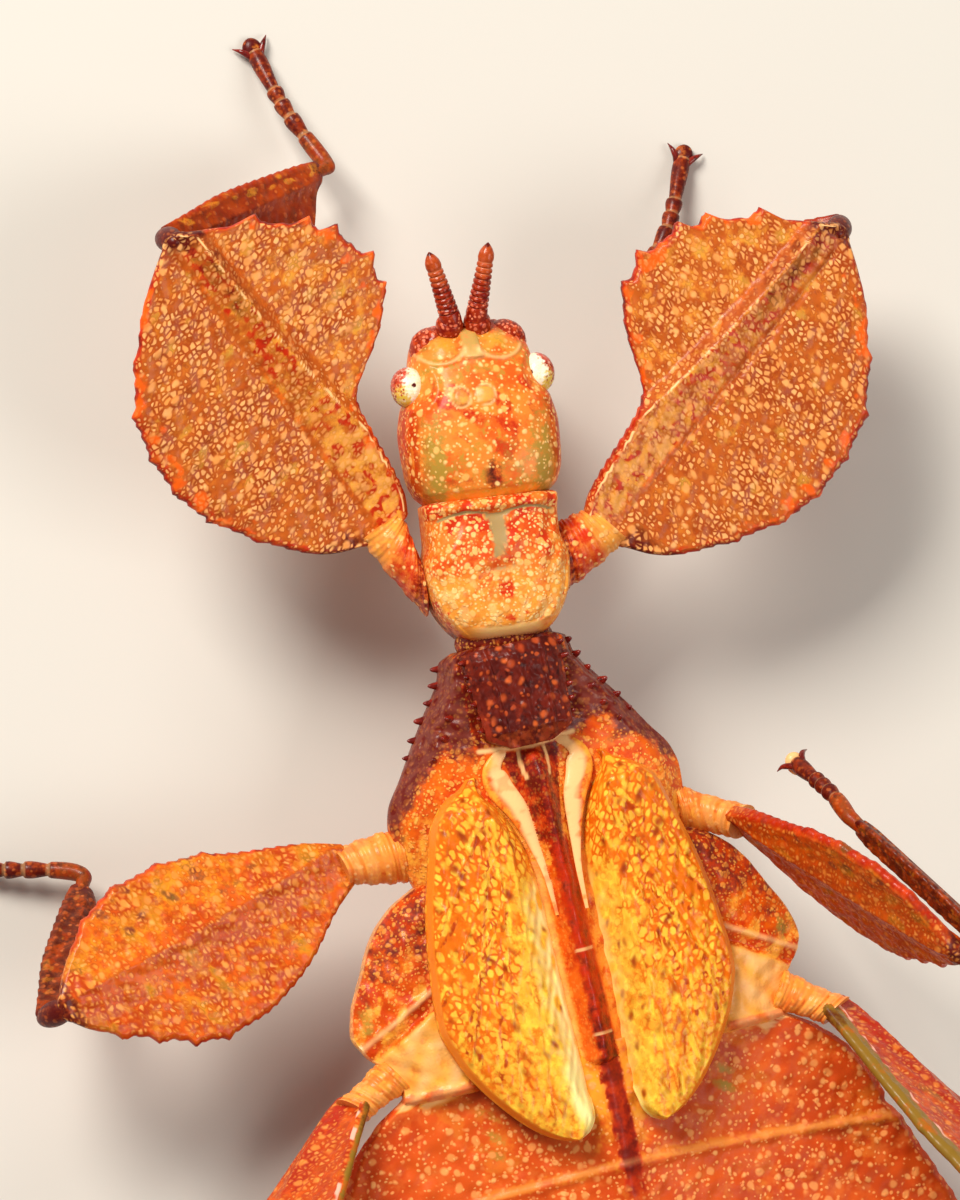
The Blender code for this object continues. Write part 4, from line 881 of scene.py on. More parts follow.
def wing_pad(name, side):
    """The pad of a growing wing: a golden, veined plate with rolled edges over the back; the left one has
    painted light and a painted highlight.
    """
    left = side > 0

    def inner(y):
        return side * (smooth(PAD_INNER, y) + (0 if left else RIGHT_PAD_INSET))

    def outer(y):
        return side * smooth(PAD_OUTER, y)

    def outward(x, y):
        return np.abs(x - inner(y)) / np.abs(outer(y) - inner(y))

    def under(x, y):
        f = outward(x, y)
        inner_sunk = 0.6 * (1 - step_up(f, 0, 0.24)) * (1 - step_up(y, 12.4, 13.4))
        sunk = 0.9 * (1 - step_up(y, 1.0, 2.2)) + inner_sunk
        return back(x, y) + PAD_LIFT + smooth([(0, 0), (0.3, 0.22), (0.7, 0.2), (1, 0)], f) - sunk

    def over(x, y):
        s = np.abs(x)
        edge = np.minimum(smooth(PAD_OUTER, y) - s, s - side * inner(y))
        veins = sum(to_line(s, y, start, end, 0.14) * tall for start, end, tall in PAD_VEINS)
        crimp = 0.03 * blotches(np.stack([s * 2.2, y * 0.9, 0 * s], -1), 0.7, 51)
        rolled = 0.06 * bell(edge, 0.16, 0.1) - 0.3 * (1 - step_up(edge, 0, 0.3))
        arched = 0.06 * np.sin(outward(x, y) * math.pi)
        return under(x, y) + PAD_THICK + (veins + crimp) * step_up(edge, 0.1, 0.4) + rolled + arched

    stations = PAD_ENDS[0] + (PAD_ENDS[1] - PAD_ENDS[0]) * rim_spread(210, 0.5)
    rings, x, y = slab_rings(stations, rim_spread(110, 0.5), rim_spread(40, 0.5), inner, outer,
                             over, under)[:3]
    s = np.abs(x)
    f = outward(x, y)
    clouds = blotches(rings, 1.0, 53)
    # The inner zone is the pads' own yellow, painted lighter and wider on the left pad as painted light, with
    # a painted glow in its pale.
    lit = 1.0 if left else 0.75
    inside = 1 - step_up(f + 0.08 * clouds, 0.0, 0.56 if left else 0.42)
    bright = lit * inside * step_up(y, 3.2, 6.0)
    rear = step_up(y - 1.2 * f, 6.5, 11.5) * (1 - inside)
    # A painted highlight: a white patch near the left pad's inner rear.
    painted_highlight = hill(s, y, (1.12, 12.5), (0.4, 0.95)) * left
    bent = s + 0.16 * np.sin(1.3 * y) + 0.05 * blotches(rings, 0.8, 55)
    veins = np.clip(sum(to_line(bent, y, start, end, 0.14) for start, end, _ in PAD_VEINS), 0, 1)
    veins = veins * patches(rings, 0.6, 56, -0.3, 0.4)
    beside = sum(to_line(bent + 0.08, y - 0.26, start, end, 0.16) for start, end, _ in PAD_VEINS[2:])
    rusty = (1 - step_up(y, 3.6, 6.0)) * (0.5 + 0.5 * blotches(rings, 1.2, 52)) * (1 - inside)
    rim = band(smooth(PAD_OUTER, y) - s, 0.12, 0.06, 0.08)
    inner_edge = band(f, 0, 0.02, 0.05) * step_up(y, 3.5, 6)
    torn = patches(rings, 0.35, 54, 0.0, 0.45) * step_up(f, 0.2, 0.4)
    pale = 0.95 * painted_highlight + (0.1 + 0.75 * lit) * bright ** 2 * step_up(clouds, -1.8, 0.4) + 0.15 * inner_edge
    paint = stack(0, pale, bright + 0.75 * veins + 0.45 * rear,
                  0.4 * np.clip(rusty, 0, 1) + 0.9 * np.clip(beside, 0, 1) * torn)
    tint = stack((1 - rim) * (1 - 0.5 * inner_edge) * (1 - 0.45 * rear), 0, 0, 0.9 * rim)
    place = np.stack([0.8 * s + 0.55 * y, 0.8 * y - 0.55 * s, rings[..., 2]], -1)
    return closed_shell(name, rings, PAD, paint, tint, place)


# Abdomen

ABDOMEN_ENDS = (11.0, 47.2)
ABDOMEN_WIDE = [(11.0, 6.7), (11.45, 7.0), (12.0, 7.85), (12.6, 8.55), (13.3, 9.15), (14.4, 9.75),
                (17.0, 10.8), (20.0, 12.0), (25.0, 13.4), (30.0, 13.6), (34.5, 12.6), (38.5, 10.7),
                (40.3, 8.6), (42.6, 6.2), (44.8, 4.1), (46.4, 2.7), (47.0, 1.9), (47.2, 1.3)]
SEGMENT_ENDS = (15.4, 20.4, 25.6, 30.6, 35.4, 39.6, 42.6, 45.0)
ABDOMEN_DROP = 0.075
RIM_HALF = 0.08


def segment_line(x, y, half):
    bowed = y - 0.02 * np.abs(x) - 0.004 * x * x
    return np.clip(sum(bell(bowed, end, half) for end in SEGMENT_ENDS), 0, 1)


def abdomen_wide(y):
    notch = sum(bell(y, end, 0.3) for end in SEGMENT_ENDS)
    return smooth(ABDOMEN_WIDE, y) - 0.22 * np.clip(notch, 0, 1) + 0.035 * np.sin(y * 9.0) * np.sin(y * 3.7)


def abdomen_middle(x, y):
    return 5.75 - ABDOMEN_DROP * (y - 11.45) - 0.0035 * x * x


def abdomen_top(x, y):
    body = 1.15 * bell(x, 0, 3.6) * smooth([(11.0, 1.15), (40, 0.75), (45, 0.5), (47.2, 0.1)], y)
    edge = step_up(abdomen_wide(y) - np.abs(x), 0, 0.35)
    ribs = 0.05 * np.sin((y - 0.35 * np.abs(x)) * 3.6) * step_up(np.abs(x), 3.5, 6)
    lines = 0.12 * segment_line(x, y, 0.16)
    slab = abdomen_middle(x, y) + RIM_HALF + 0.24 * edge + body + lines
    return slab + ribs * edge * 0.5 + 0.35 * bell(x, 0, 0.45)


def abdomen_bottom(x, y):
    body = 1.35 * bell(x, 0, 3.8) * smooth([(11.0, 1.0), (40, 0.75), (45, 0.45), (47.2, 0.05)], y)
    edge = step_up(abdomen_wide(y) - np.abs(x), 0, 0.35)
    return abdomen_middle(x, y) - RIM_HALF - 0.24 * edge - body + 0.1 * segment_line(x, y, 0.2)


def abdomen_shell():
    """The leaf-shaped abdomen: a thin wide rim round a thicker middle, with a line at each segment's end."""
    rings, x, y, over = even_slab(*ABDOMEN_ENDS, (330, 230, 90), (0.35, 0.5), abdomen_wide, abdomen_top,
                                  abdomen_bottom)
    s = np.abs(x)
    rings[..., 2] += over * 0.03 * blotches(rings, 0.9, 61)
    border = segment_line(x, y + 0.12, 0.2)
    rim = band(abdomen_wide(y) - s, 0, 0.12, 0.2)
    warm = patches(rings, 5.0, 62, 0.0, 0.9)
    green = 0.6 * hill(s, y, (4.3, 13.4), (0.5, 0.9)) * over * patches(rings, 0.6, 63, -0.6, 0.5)
    eye_spot = hill(s, y, (5.2, 27.6), (1.1, 1.3)) * over
    bent = y + 0.12 * np.abs(s - 6.2) + 0.12 * blotches(rings, 0.6, 64)
    fold = (1 - step_up(bent, 11.75, 12.0)) * over * step_up(s, 4.5, 5.5)
    beside = band(x, -0.2, 0.9, 0.5) * (1 - step_up(y, 12.5, 16.0)) * over
    maroon = stripe(x, y)
    keel_red = 0.2 * stripe_edge(x, y) * step_up(17.2 - y, 0, 2) + 0.7 * maroon
    paint = stack(0.6 * maroon * over + 0.5 * eye_spot,
                  (0.3 * border + 0.6 * stripe_lines(x, y) + 0.6 * fold) * over,
                  0.55 * border + 0.3 * warm + 0.6 * fold + 0.6 * beside,
                  0.3 * border + 0.25 * warm + keel_red * over)
    tint = stack((1 - 0.8 * border) * (1 - maroon) * (1 - fold), 0.1, green, 0.6 * rim)
    return closed_shell("abdomen", rings, ABDOMEN, paint, tint)


def tail_shells():
    """The two short cerci."""
    path = [(0.7, 46.9, 2.85), (0.85, 47.8, 2.72), (1.05, 48.7, 2.65), (1.0, 49.5, 2.6)]
    radii = [(0, 0.3), (0.5, 0.43), (0.8, 0.4), (0.95, 0.2), (1, 0.08)]
    sided = [tube_rings([(side * x, y, z) for x, y, z in path], radii, 30, 40, 0.7) for side in SIDES]
    return [closed_shell("cercus", rings, ABDOMEN, (0, 0, 0.2, 0.3), (0.8, 0, 0, 0)) for rings in sided]


# Legs

# A blade's side lines give its reach in millimetres at places from its root, 0, to its far joint, 1.
FORE_BACK = [(0, 1.0), (0.03, 1.9), (0.07, 2.6), (0.16, 3.55), (0.28, 4.55), (0.38, 5.1), (0.48, 5.25),
             (0.57, 5.15), (0.65, 4.9), (0.74, 4.2), (0.83, 3.2), (0.89, 2.5), (0.96, 1.3), (1, 0.5)]
FORE_FRONT = [(0, 0.95), (0.05, 1.25), (0.11, 1.4), (0.29, 1.7), (0.345, 1.95), (0.38, 2.5), (0.42, 3.35),
              (0.47, 4.2), (0.53, 4.75), (0.6, 4.95), (0.68, 4.85), (0.78, 4.15), (0.85, 3.35), (0.91, 2.3),
              (0.96, 1.35), (1, 0.5)]
MID_BACK = [(0, 0.75), (0.09, 1.3), (0.23, 2.45), (0.33, 3.0), (0.45, 3.4), (0.57, 3.45), (0.66, 3.15),
            (0.76, 2.5), (0.88, 1.65), (0.96, 1.0), (1, 0.5)]
MID_FRONT = [(0, 0.75), (0.1, 1.35), (0.29, 2.1), (0.44, 2.75), (0.58, 3.0), (0.7, 2.95), (0.8, 2.55),
             (0.9, 1.75), (0.96, 1.1), (1, 0.5)]
HIND_BACK = [(0, 0.75), (0.12, 1.4), (0.3, 2.4), (0.5, 3.1), (0.65, 3.1), (0.8, 2.4), (0.92, 1.3), (1, 0.5)]
HIND_FRONT = [(0, 0.75), (0.12, 1.3), (0.3, 2.0), (0.5, 2.4), (0.68, 2.3), (0.82, 1.7), (0.93, 1.0),
              (1, 0.5)]
TIBIA_OUTER = [(0, 0.4), (0.15, 0.5), (0.4, 0.68), (0.7, 0.6), (0.9, 0.5), (1, 0.4)]
FORE_TIBIA_INNER = [(0, 0.4), (0.2, 0.9), (0.45, 1.9), (0.7, 2.5), (0.85, 2.55), (0.92, 1.9), (0.96, 1.0),
                    (1, 0.45)]
TIBIA_INNER = [(0, 0.4), (0.2, 0.6), (0.5, 0.95), (0.8, 1.0), (0.92, 0.75), (1, 0.42)]
# Each tooth of a side line: its place and how tall it is.
FORE_TEETH = ((0.54, 0.3), (0.63, 0.45), (0.755, 0.5), (0.82, 0.5), (0.92, 0.7))
FORE_SAW = ((0.2, 0.15), (0.32, 0.15), (0.44, 0.15), (0.56, 0.15), (0.68, 0.18), (0.8, 0.2))
MID_TEETH = ((0.58, 0.16), (0.68, 0.22), (0.78, 0.24), (0.88, 0.24))
MID_SAW = ((0.4, 0.12), (0.55, 0.14), (0.7, 0.14), (0.84, 0.16))

# What legs share. ridge and rib_spread set the femur's midrib, fine its saw, and red and olive its colours.
FORE = dict(fore=True, standing=True, roll=0.0, root_wide=(0.05, 1.15, 0), root_high=(0, 0, 1.05),
            lines=(FORE_BACK, FORE_FRONT), teeth=(FORE_SAW, FORE_TEETH), crest=0.72, wide=0.95, fine=0.07,
            ridge=(0.68, 1.5), rib_spread=0.5, counts=(230, 120), finish=BLADE, tibia=FORE_TIBIA_INNER,
            red=0.0, olive=0.0)
REAR = dict(fore=False, crest=0.6, wide=0.72, ridge=(0.25, 0.5), rib_spread=1.5, counts=(170, 90),
            finish=BRIGHT_BLADE, tibia=TIBIA_INNER)
MID = REAR | dict(lines=(MID_BACK, MID_FRONT), teeth=(MID_TEETH, MID_SAW), fine=0.07, olive=0.0)
HIND = REAR | dict(lines=(HIND_BACK, HIND_FRONT), teeth=(MID_SAW, MID_SAW), fine=0.02, standing=True,
                   root_high=(0, 0, 0.8), spread=(1.0, 1.0), hinge=(0.75, 0.35), tibia_roll=0.6)
# Each leg's own places: its root in the body, its femur's base and knee, its shin's end and its foot.
LEGS = {
    "fore_left": FORE | dict(
        side=1, root=from_head((2.92, -2.85, 6.1)), base=(3.15, -8.15, 6.2), knee=(8.45, -19.5, 8.3),
        spread=(0.98, 1.05), hinge=(0.1, 0.98), tibia_end=(2.05, -21.0, 2.7), tibia_roll=0.35,
        foot=((2.42, -23.6, 1.2), (2.83, -25.7, 0.24))),
    "fore_right": FORE | dict(
        side=-1, root=from_head((-2.92, -2.85, 6.1)), base=(-4.45, -6.45, 6.2), knee=(-14.95, -14.8, 6.7),
        spread=(1.0, 0.97), hinge=(0.4, 0.95), tibia_end=(-9.0, -14.7, 2.4), tibia_roll=0.2,
        foot=((-10.1, -16.4, 1.3), (-11.4, -18.7, 0.24))),
    "mid_left": MID | dict(
        side=1, root=(5.65, 3.1, 5.3), root_wide=(0, 0.95, 0), root_high=(0, 0, 0.95), base=(6.95, 2.95, 5.3),
        knee=(18.0, 5.6, 7.2), roll=0.0, spread=(1.0, 1.0), hinge=(0.5, 0.85), tibia_end=(15.8, 1.8, 1.9),
        tibia_roll=0.0, foot=((18.2, 0.5, 0.75), (20.1, 0.13, 0.24)), standing=True, red=0.1),
    "mid_right": MID | dict(
        side=-1, root=(-5.6, 3.55, 5.5), root_wide=(0, 0.85, 0), root_high=(0, 0, 0.9), base=(-6.8, 4.5, 6.3),
        knee=(-11.95, 10.6, 13.6), roll=-1.36, spread=(0.95, 0.92), hinge=(0.45, 0.85), red=0.32,
        tibia_end=(-10.4, 5.7, 9.4), tibia_roll=1.5, foot=((-10.0, 4.5, 8.1), (-9.4, 3.1, 5.9)),
        standing=False),
    "hind_left": HIND | dict(
        side=1, root=(7.65, 10.5, 5.5), root_wide=(-0.42, 0.66, 0), base=(8.6, 11.2, 5.9),
        knee=(18.2, 20.7, 9.4), roll=1.2, tibia_end=(20.4, 25.8, 2.0),
        foot=((21.6, 28.2, 0.75), (23.0, 30.3, 0.24)), red=0.4, olive=0.07),
    "hind_right": HIND | dict(
        side=-1, root=(-7.6, 10.65, 5.6), root_wide=(0.42, 0.66, 0), base=(-8.6, 11.65, 6.2),
        knee=(-15.7, 23.1, 10.2), roll=1.12, tibia_end=(-18.0, 27.8, 2.0),
        foot=((-19.2, 30.0, 0.75), (-20.8, 32.0, 0.24)), red=0.5, olive=0.62),
}
LOBE_HALF = 0.22
SAW_PITCH = 0.42
KNEE_WIDE = 0.46
KNEE_HIGH = 0.42
# How long each joint of a foot is, as a share of the foot.
FOOT_PARTS = (0.42, 0.12, 0.1, 0.09, 0.27)


def blade_axes(start, end, side, roll):
    """A leg length's own directions: along it, across its blade and out of its upper face."""
    along = unit(end - start)
    flat = unit(np.cross([0, 0, 1], along)) * side
    up = np.cross(along, flat) * side
    c, s = math.cos(roll), math.sin(roll)
    return along, flat * c + up * s, up * c - flat * s


def side_line(t, knots, teeth, spread, long, fine):
    """A blade's side line: its sweep, its large teeth and a fine saw that leans toward the knee."""
    bite = np.zeros_like(t)
    for place, tall in teeth:
        lean = np.where(t > place, (t - place) / 0.016, (place - t) / 0.045)
        bite = np.maximum(bite, tall * np.clip(1 - lean, 0, 1) ** 1.3)
    saw = (t * long / SAW_PITCH) % 1.0
    saw = np.where(saw < 0.75, saw / 0.75, (1 - saw) / 0.25)
    return smooth(knots, t) * spread + bite + fine * (saw - 0.5) * band(t, 0.5, 0.38, 0.08)


def blade(name, ends, side, roll, lines, teeth, spread, counts, finish, markings, shaft, crest, under, fine,
          lap, bow=0.0, ridge=(0.2, 0.0), rib_spread=0.5):
    """A flattened leg length: a ridged shaft with a thin lobe on each side, as a leaf's midrib and halves."""
    start, end = (np.array(place, float) for place in ends)
    across, rise = blade_axes(start, end, side, roll)[1:]
    long = np.linalg.norm(end - start)
    t = np.linspace(-lap / long, 1.0 + lap / long, counts[0])
    inside = np.clip(t, 0, 1)
    close = smooth([(-lap / long - 1e-6, 0.45), (0, 1), (1, 1), (1 + lap / long + 1e-6, 0.45)], t)
    b, f = ((side_line(inside, lines[k], teeth[k], spread[k], long, fine) * close)[:, None] for k in (0, 1))
    v = -f + (b + f) * rim_spread(counts[1], 0.45)[None, :]
    low_v = (-f + (b + f) * rim_spread(counts[1] // 2, 0.45)[None, :])[:, -2:0:-1]
    tall = (crest * smooth([(0, 0.8), (0.15, 1), (0.9, 1), (1, 0.75)], inside) * close)[:, None]
    deep = (under * smooth([(0, 0.9), (0.15, 1), (0.9, 1), (1, 0.85)], inside) * close)[:, None]
    narrow = np.minimum(b, f)
    half = np.minimum(shaft, narrow * 0.75)
    ridge_at = -np.minimum(ridge[0] + ridge[1] * (1 - inside[:, None]) ** 2, f - 0.22)
    long_t = np.broadcast_to(t[:, None], v.shape)

    gap = np.minimum(b - v, v + f)
    lobe = LOBE_HALF * np.sqrt(np.clip(gap / 0.2, 0, 1)) * np.minimum(1, tall / 0.5)
    rise_wide = np.maximum(0.45 * half - ridge_at, rib_spread)
    s = np.clip(np.where(v > ridge_at, (v - ridge_at) / rise_wide, (ridge_at - v) / rib_spread), 0, 1)
    w = lobe * (0.8 + 0.2 * s) + np.maximum(tall - lobe, 0) * (1 - s) ** (1.15 + 0.5 * (rib_spread > 1))
    beside = 0.07 * bell(v, 0.35, 0.12) * step_up(narrow, 1.0, 1.8) * (rib_spread < 1)
    folds = 0.03 * np.sin((long_t * long + 0.55 * np.abs(v)) * 3.9) * step_up(np.abs(v), 1.2, 2.2)
    rough = 0.02 * blotches(np.stack([v, long_t * long, 0 * v], -1), 0.5, 7)
    w = w + ((folds + rough) * np.clip(gap / 0.5, 0, 1) - beside) * np.minimum(1, tall / 0.5) - bow * v * v

    low_gap = np.clip(np.minimum(b - low_v, low_v + f) / 0.2, 0, 1)
    low_shaft = smooth([(0, 0), (0.35, 0.08), (1, 1)], np.clip(np.abs(low_v) / half, 0, 1))
    low_w = -np.maximum(LOBE_HALF * np.sqrt(low_gap) * np.minimum(1, deep / 0.4), deep * (1 - low_shaft))
    low_w = low_w - bow * low_v**2
    w[:, 0] = low_w[:, -1] * 0.3 + w[:, 0] * 0.7
    v_all, w_all = np.hstack([v, low_v]), np.hstack([w, low_w])
    t_all = np.hstack([long_t, np.broadcast_to(t[:, None], low_v.shape)])
    rings = start + (end - start) * t_all[..., None] + across * v_all[..., None] + rise * w_all[..., None]
    place = np.stack([v_all + 0.25 * t_all * long, t_all * long, w_all + 7.0 * side], -1)
    over = np.hstack([np.ones(v.shape), np.zeros(low_v.shape)])
    paint, tint = markings(t_all, v_all, np.minimum(b - v_all, v_all + f), over, place, ridge_at, narrow)
    return closed_shell(name, rings, finish, paint, tint, place)


def femur_markings(seed, leg):
    """A femur's leaf pattern: cells in a rusty net, a mottled midrib with a painted highlight along its
    carina, a patched rim.
    """
    red, olive_band = leg["red"], leg["olive"]
    warmth, strong = (0.0, 1.0) if leg["fore"] else (0.2 - 0.25 * red, 0.2)

    def paints(t, v, edge, over, place, ridge_at, narrow):
        rib = step_up(v, ridge_at - 0.12, ridge_at + 0.02) * (1 - step_up(v, 0.0, 0.25))
        # A painted highlight along the midrib's carina; the blots are also kept off it.
        line = band(v, ridge_at, 0.012, 0.05) * over
        valley = band(v, 0.2, 0.04, 0.12) + 0.8 * band(v, ridge_at - 0.32, 0.14, 0.16) * step_up(t, 0.35, 0.6)
        valley = valley * over * strong
        rim = band(edge, 0.0, 0.05, 0.1) * step_up(narrow, 0.9, 1.6)
        reach = 0.45 + 0.35 * blotches(place, 0.6, seed + 4)
        patch = patches(place, 1.1, seed, -0.2, 0.7) * step_up(reach - edge, -0.25, 0.25)
        patch = patch * step_up(narrow, 1.2, 2.0)
        olive = 0.8 * patches(place, 1.2, seed + 1, 0.3, 1.5) * (1 - rib)
        cream = patches(place, 0.7, seed + 8, -0.2, 0.5) * rib * strong * (1 - step_up(t, 0.25, 0.55))
        front = step_up(ridge_at - v, 0.2, 0.9) * (red < 0.3)
        blots = step_up(blotches(place, 0.42, seed + 2) + 0.3 * blotches(place, 0.2, seed + 6), -0.1, 0.5)
        blots = blots * rib * (1 - line) * (1 - 0.8 * cream) * strong
        # Patches that break up the painted highlights.
        lights = patches(place, 0.8, seed + 3, -0.2, 0.3)
        knee = step_up(t, 0.94, 1.0) * (1 - step_up(np.abs(v), 0.7, 1.2))
        shade = band(v, ridge_at + 0.32, 0.2, 0.2) + band(v, ridge_at - 0.22, 0.08, 0.12)
        shade = shade * step_up(t, 0.5, 0.85) * strong
        root = (1 - step_up(t, 0.03, 0.1)) * step_up(v, 0.3, 1.2)
        beyond = edge * np.where(v > 0, 1, 20)
        inner = (1 - step_up(beyond, olive_band - 0.06, olive_band + 0.06)) * (olive_band > 0)
        # The ridge beside the olive band, painted pale: partly its own cream colour, partly a painted
        # highlight.
        pale_ridge_and_highlight = band(beyond, olive_band + 0.08, 0.05, 0.06) * (olive_band > 0) * lights
        rim, patch = rim * (1 - inner), patch * (1 - inner)
        near_rim = band(edge, 0.12, 0.12, 0.2) * strong
        clouds = 0.6 * patches(place, 0.9, seed + 7, 0.5, 1.3) * (1 - strong) * step_up(-v, 0.3, 1.2)
        ruddy = (red * (1 - inner) + 0.5 * near_rim + 0.7 * blots + (0.75 * strong) * rim
                 + (0.25 * rib + 0.35 * rim) * (1 - strong))
        dotted = (1 - 0.35 * rib * strong) * (1 - rim) * (1 - 0.75 * patch)
        dotted = dotted * (1 - 0.8 * np.clip(valley, 0, 1)) * (0.4 + 0.6 * over) * (1 - inner)
        dotted = dotted * (1 - 0.9 * max(red - 0.1, 0.0))
        dark = 0.65 * knee + 0.6 * root + (0.12 + 0.33 * strong) * rim * (1 - patch) + 0.42 * shade * over
        paint = stack(dark, 0.85 * line * lights * strong + 0.8 * pale_ridge_and_highlight + 0.25 * cream,
                      warmth + 0.22 * front + 0.4 * rib * strong + 0.5 * olive + 0.3 * cream, ruddy)
        tint = stack(dotted, 0.5 * knee + clouds, 0.35 * olive + 0.75 * inner,
                     (0.3 + 0.5 * strong) * patch + 0.25 * valley)
        return paint, tint
    return paints


def shin_markings(seed, brown):
    """A shin's blade: dark orange-brown, its edge redder, with yellow spots along it."""
    def paints(t, v, edge, over, place, ridge_at, narrow):
        rim = band(edge, 0.0, 0.06, 0.12)
        ends = 1 - band(t, 0.5, 0.44, 0.06)
        warm = patches(place, 1.2, seed, -0.2, 0.8)
        spotted = patches(place, 0.5, seed + 1, 0.3, 0.7) * band(edge, 0.25, 0.15, 0.15)
        return (stack(0.3 + 0.35 * ends, 0, 0.6 * spotted, 0.4 * rim),
                stack(0.6 - 0.4 * rim, brown, 0, 0.3 * warm * (1 - brown)))
    return paints


def coxa_shell(leg, base, along, across, rise):
    """The ringed root of a leg, from inside the body to inside the femur, with painted shade in its grooves.
    """
    root, meets = np.array(leg["root"], float), base + along * 0.25
    body = -unit(meets - root) if leg["fore"] else np.array([-leg["side"], 0, 0])
    first = root + body * 0.7
    marks = np.linspace(0, 1, 90)[:, None]
    folds = marks * math.tau * 4.0 + 1.1 * np.sin(marks * 7.0)
    swell = 1 + 0.04 * np.sin(folds) + 0.016 * np.sin(folds * 3.1) + 0.08 * np.sin(marks * math.pi)
    rings = ovals(first * (1 - marks) + meets * marks,
                  (np.array(leg["root_wide"]) * (1 - marks) + across * leg["wide"] * 0.9 * marks) * swell,
                  (np.array(leg["root_high"]) * (1 - marks) + rise * 0.66 * marks) * swell, 64)
    # Painted shade darkens the fold grooves; on the middle and hind roots the fold crests are painted paler
    # as a painted highlight.
    grooves = step_up(-np.sin(folds), 0.5, 1.0)
    if leg["fore"]:
        root_dark = 1 - step_up(marks, 0.1, 0.45)
        ruddy = 1 - step_up(marks, 0.5, 0.85)
        paint = stack(0.12 * grooves + 0.4 * root_dark, 0.25 * (1 - ruddy), 0.1 + 0.4 * (1 - ruddy),
                      0.6 * ruddy)
    else:
        paint = stack(0.06 * grooves, 0.3 * (1 - grooves) * step_up(marks, 0.1, 0.5), 0.3, 0.3 * grooves)
    return closed_shell("coxa", rings, JOINT, paint, (1.0 if leg["fore"] else 0.6, 0, 0, 0))


def leg_shells(name, leg):
    """A leg from its root in the body to the end of its foot, without the claws."""
    base, knee, end = (np.array(leg[key], float) for key in ("base", "knee", "tibia_end"))
    along, across, rise = blade_axes(base, knee, leg["side"], leg["roll"])
    seed = 100 + 10 * list(LEGS).index(name)
    femur = blade("femur", (base, knee), leg["side"], leg["roll"], leg["lines"], leg["teeth"], leg["spread"],
                  leg["counts"], leg["finish"], femur_markings(seed, leg), shaft=0.68, crest=leg["crest"],
                  under=0.5, fine=leg["fine"], lap=0.25, bow=0.01, ridge=leg["ridge"],
                  rib_spread=leg["rib_spread"])
    start = knee + along * leg["hinge"][0] - rise * leg["hinge"][1]
    tibia = blade("tibia", (start, end), leg["side"], leg["tibia_roll"], (TIBIA_OUTER, leg["tibia"]),
                  ((), ()), (1, 1), (100, 60), SHIN, shin_markings(seed + 5, 0.0 if leg["fore"] else 0.6),
                  shaft=0.34, crest=0.38, under=0.36, fine=0.05, lap=0.2)
    turn = np.linspace(0.02, math.pi - 0.02, 30)[:, None]
    reach = (knee - start) / 2 + unit(knee - start) * 0.36
    ball = ovals((knee + start) / 2 - np.cos(turn) * reach, across * KNEE_WIDE * np.sin(turn),
                 np.cross(unit(reach), across) * KNEE_HIGH * np.sin(turn), 40)
    joint = closed_shell("knee", ball, SHIN, (0.85, 0, 0, 0.2), (0.3, 0.6, 0, 0))
    return [coxa_shell(leg, base, along, across, rise), femur, tibia, joint, *foot_shells(start, end, leg)]


def foot_path(start, end, leg):
    """The foot's path from the shin's end on, and the directions ahead, aside and up at its tip."""
    ahead = unit(end - start)
    path = [end - ahead * 0.2, end + ahead * 0.45, end + ahead * 0.65]
    path += [np.array(place, float) for place in leg["foot"]]
    tip_ahead = unit(path[-1] - path[-2])
    if leg["standing"]:
        tip_ahead = unit([tip_ahead[0], tip_ahead[1], 0])
    side = unit(np.cross([0, 0, 1], tip_ahead))
    return path, tip_ahead, side, np.cross(tip_ahead, side)


def on_floor(rings, leg):
    """A standing leg's rings are pressed flat where they would sink into the floor."""
    if leg["standing"]:
        rings[..., 2] = np.maximum(rings[..., 2], 0.0)
    return rings


def foot_shells(start, end, leg):
    """The five joints of a foot, the pad between its claws, and pale rings where the joints meet."""
    path, ahead, _, up = foot_path(start, end, leg)
    ends = np.concatenate([[0], np.cumsum(FOOT_PARTS)])
    knots = [(a + share * (b - a), radius) for a, b in zip(ends, ends[1:])
             for share, radius in ((0.02, 0.22), (0.15, 0.24), (0.75, 0.31), (0.97, 0.29))]
    marks = np.linspace(0, 1, 110)[:, None]
    rings = on_floor(tube_rings(path, knots, 28, 110), leg)
    first = 1 - step_up(marks, 0.34, 0.42)
    joint = np.clip(sum(band(marks, b, 0.008, 0.012) for b in ends[1:]), 0, 1)
    paint = stack(0.55 * (1 - first), 0.35 * joint + 0.1 * first, 0.25 * first, 0.3)
    pad = ball_rings(path[-1] + ahead * 0.12 - up * 0.08, (0.36, 0.44, 0.22), 30, 20,
                     math.atan2(-ahead[0], ahead[1]))
    # A standing foot's pad is painted dark, painted shade where it presses on the floor; a raised foot's pad
    # keeps its pale colour.
    pad_paint = (0.7, 0, 0, 0.4) if leg["standing"] else (0.1, 0.75, 0, 0)
    return [closed_shell("foot", rings, SHIN, paint, (0.5, 0.45, 0, 0)),
            closed_shell("foot_pad", on_floor(pad, leg), JOINT, pad_paint, (0, 0.3, 0, 0))]


def claw_shells(leg):
    """The two claws at the end of a foot."""
    path, ahead, side, up = foot_path(np.array(leg["knee"], float), np.array(leg["tibia_end"], float), leg)
    tip = path[-1]
    shells = []
    for way in SIDES:
        claw = [tip - ahead * 0.3 + side * way * 0.1, tip + side * way * 0.26 + up * 0.1,
                tip + ahead * 0.22 + side * way * 0.44 + up * 0.08,
                tip + ahead * 0.42 + side * way * 0.66 - up * 0.1]
        rings = tube_rings(claw, [(0, 0.14), (0.5, 0.11), (1, 0.015)], 16, 26)
        shells.append(closed_shell("claw", on_floor(rings, leg), SPINE))
    return shells


# Eyes, feelers and spines

EYES = {"eye_left": 1, "eye_right": -1}
FEELERS = {"antenna_left": ((0.65, -11.4, 7.35), (1.26, -13.65, 8.2)),
           "antenna_right": ((-0.33, -11.45, 7.35), (-0.87, -13.75, 8.2))}
BEADS = 9


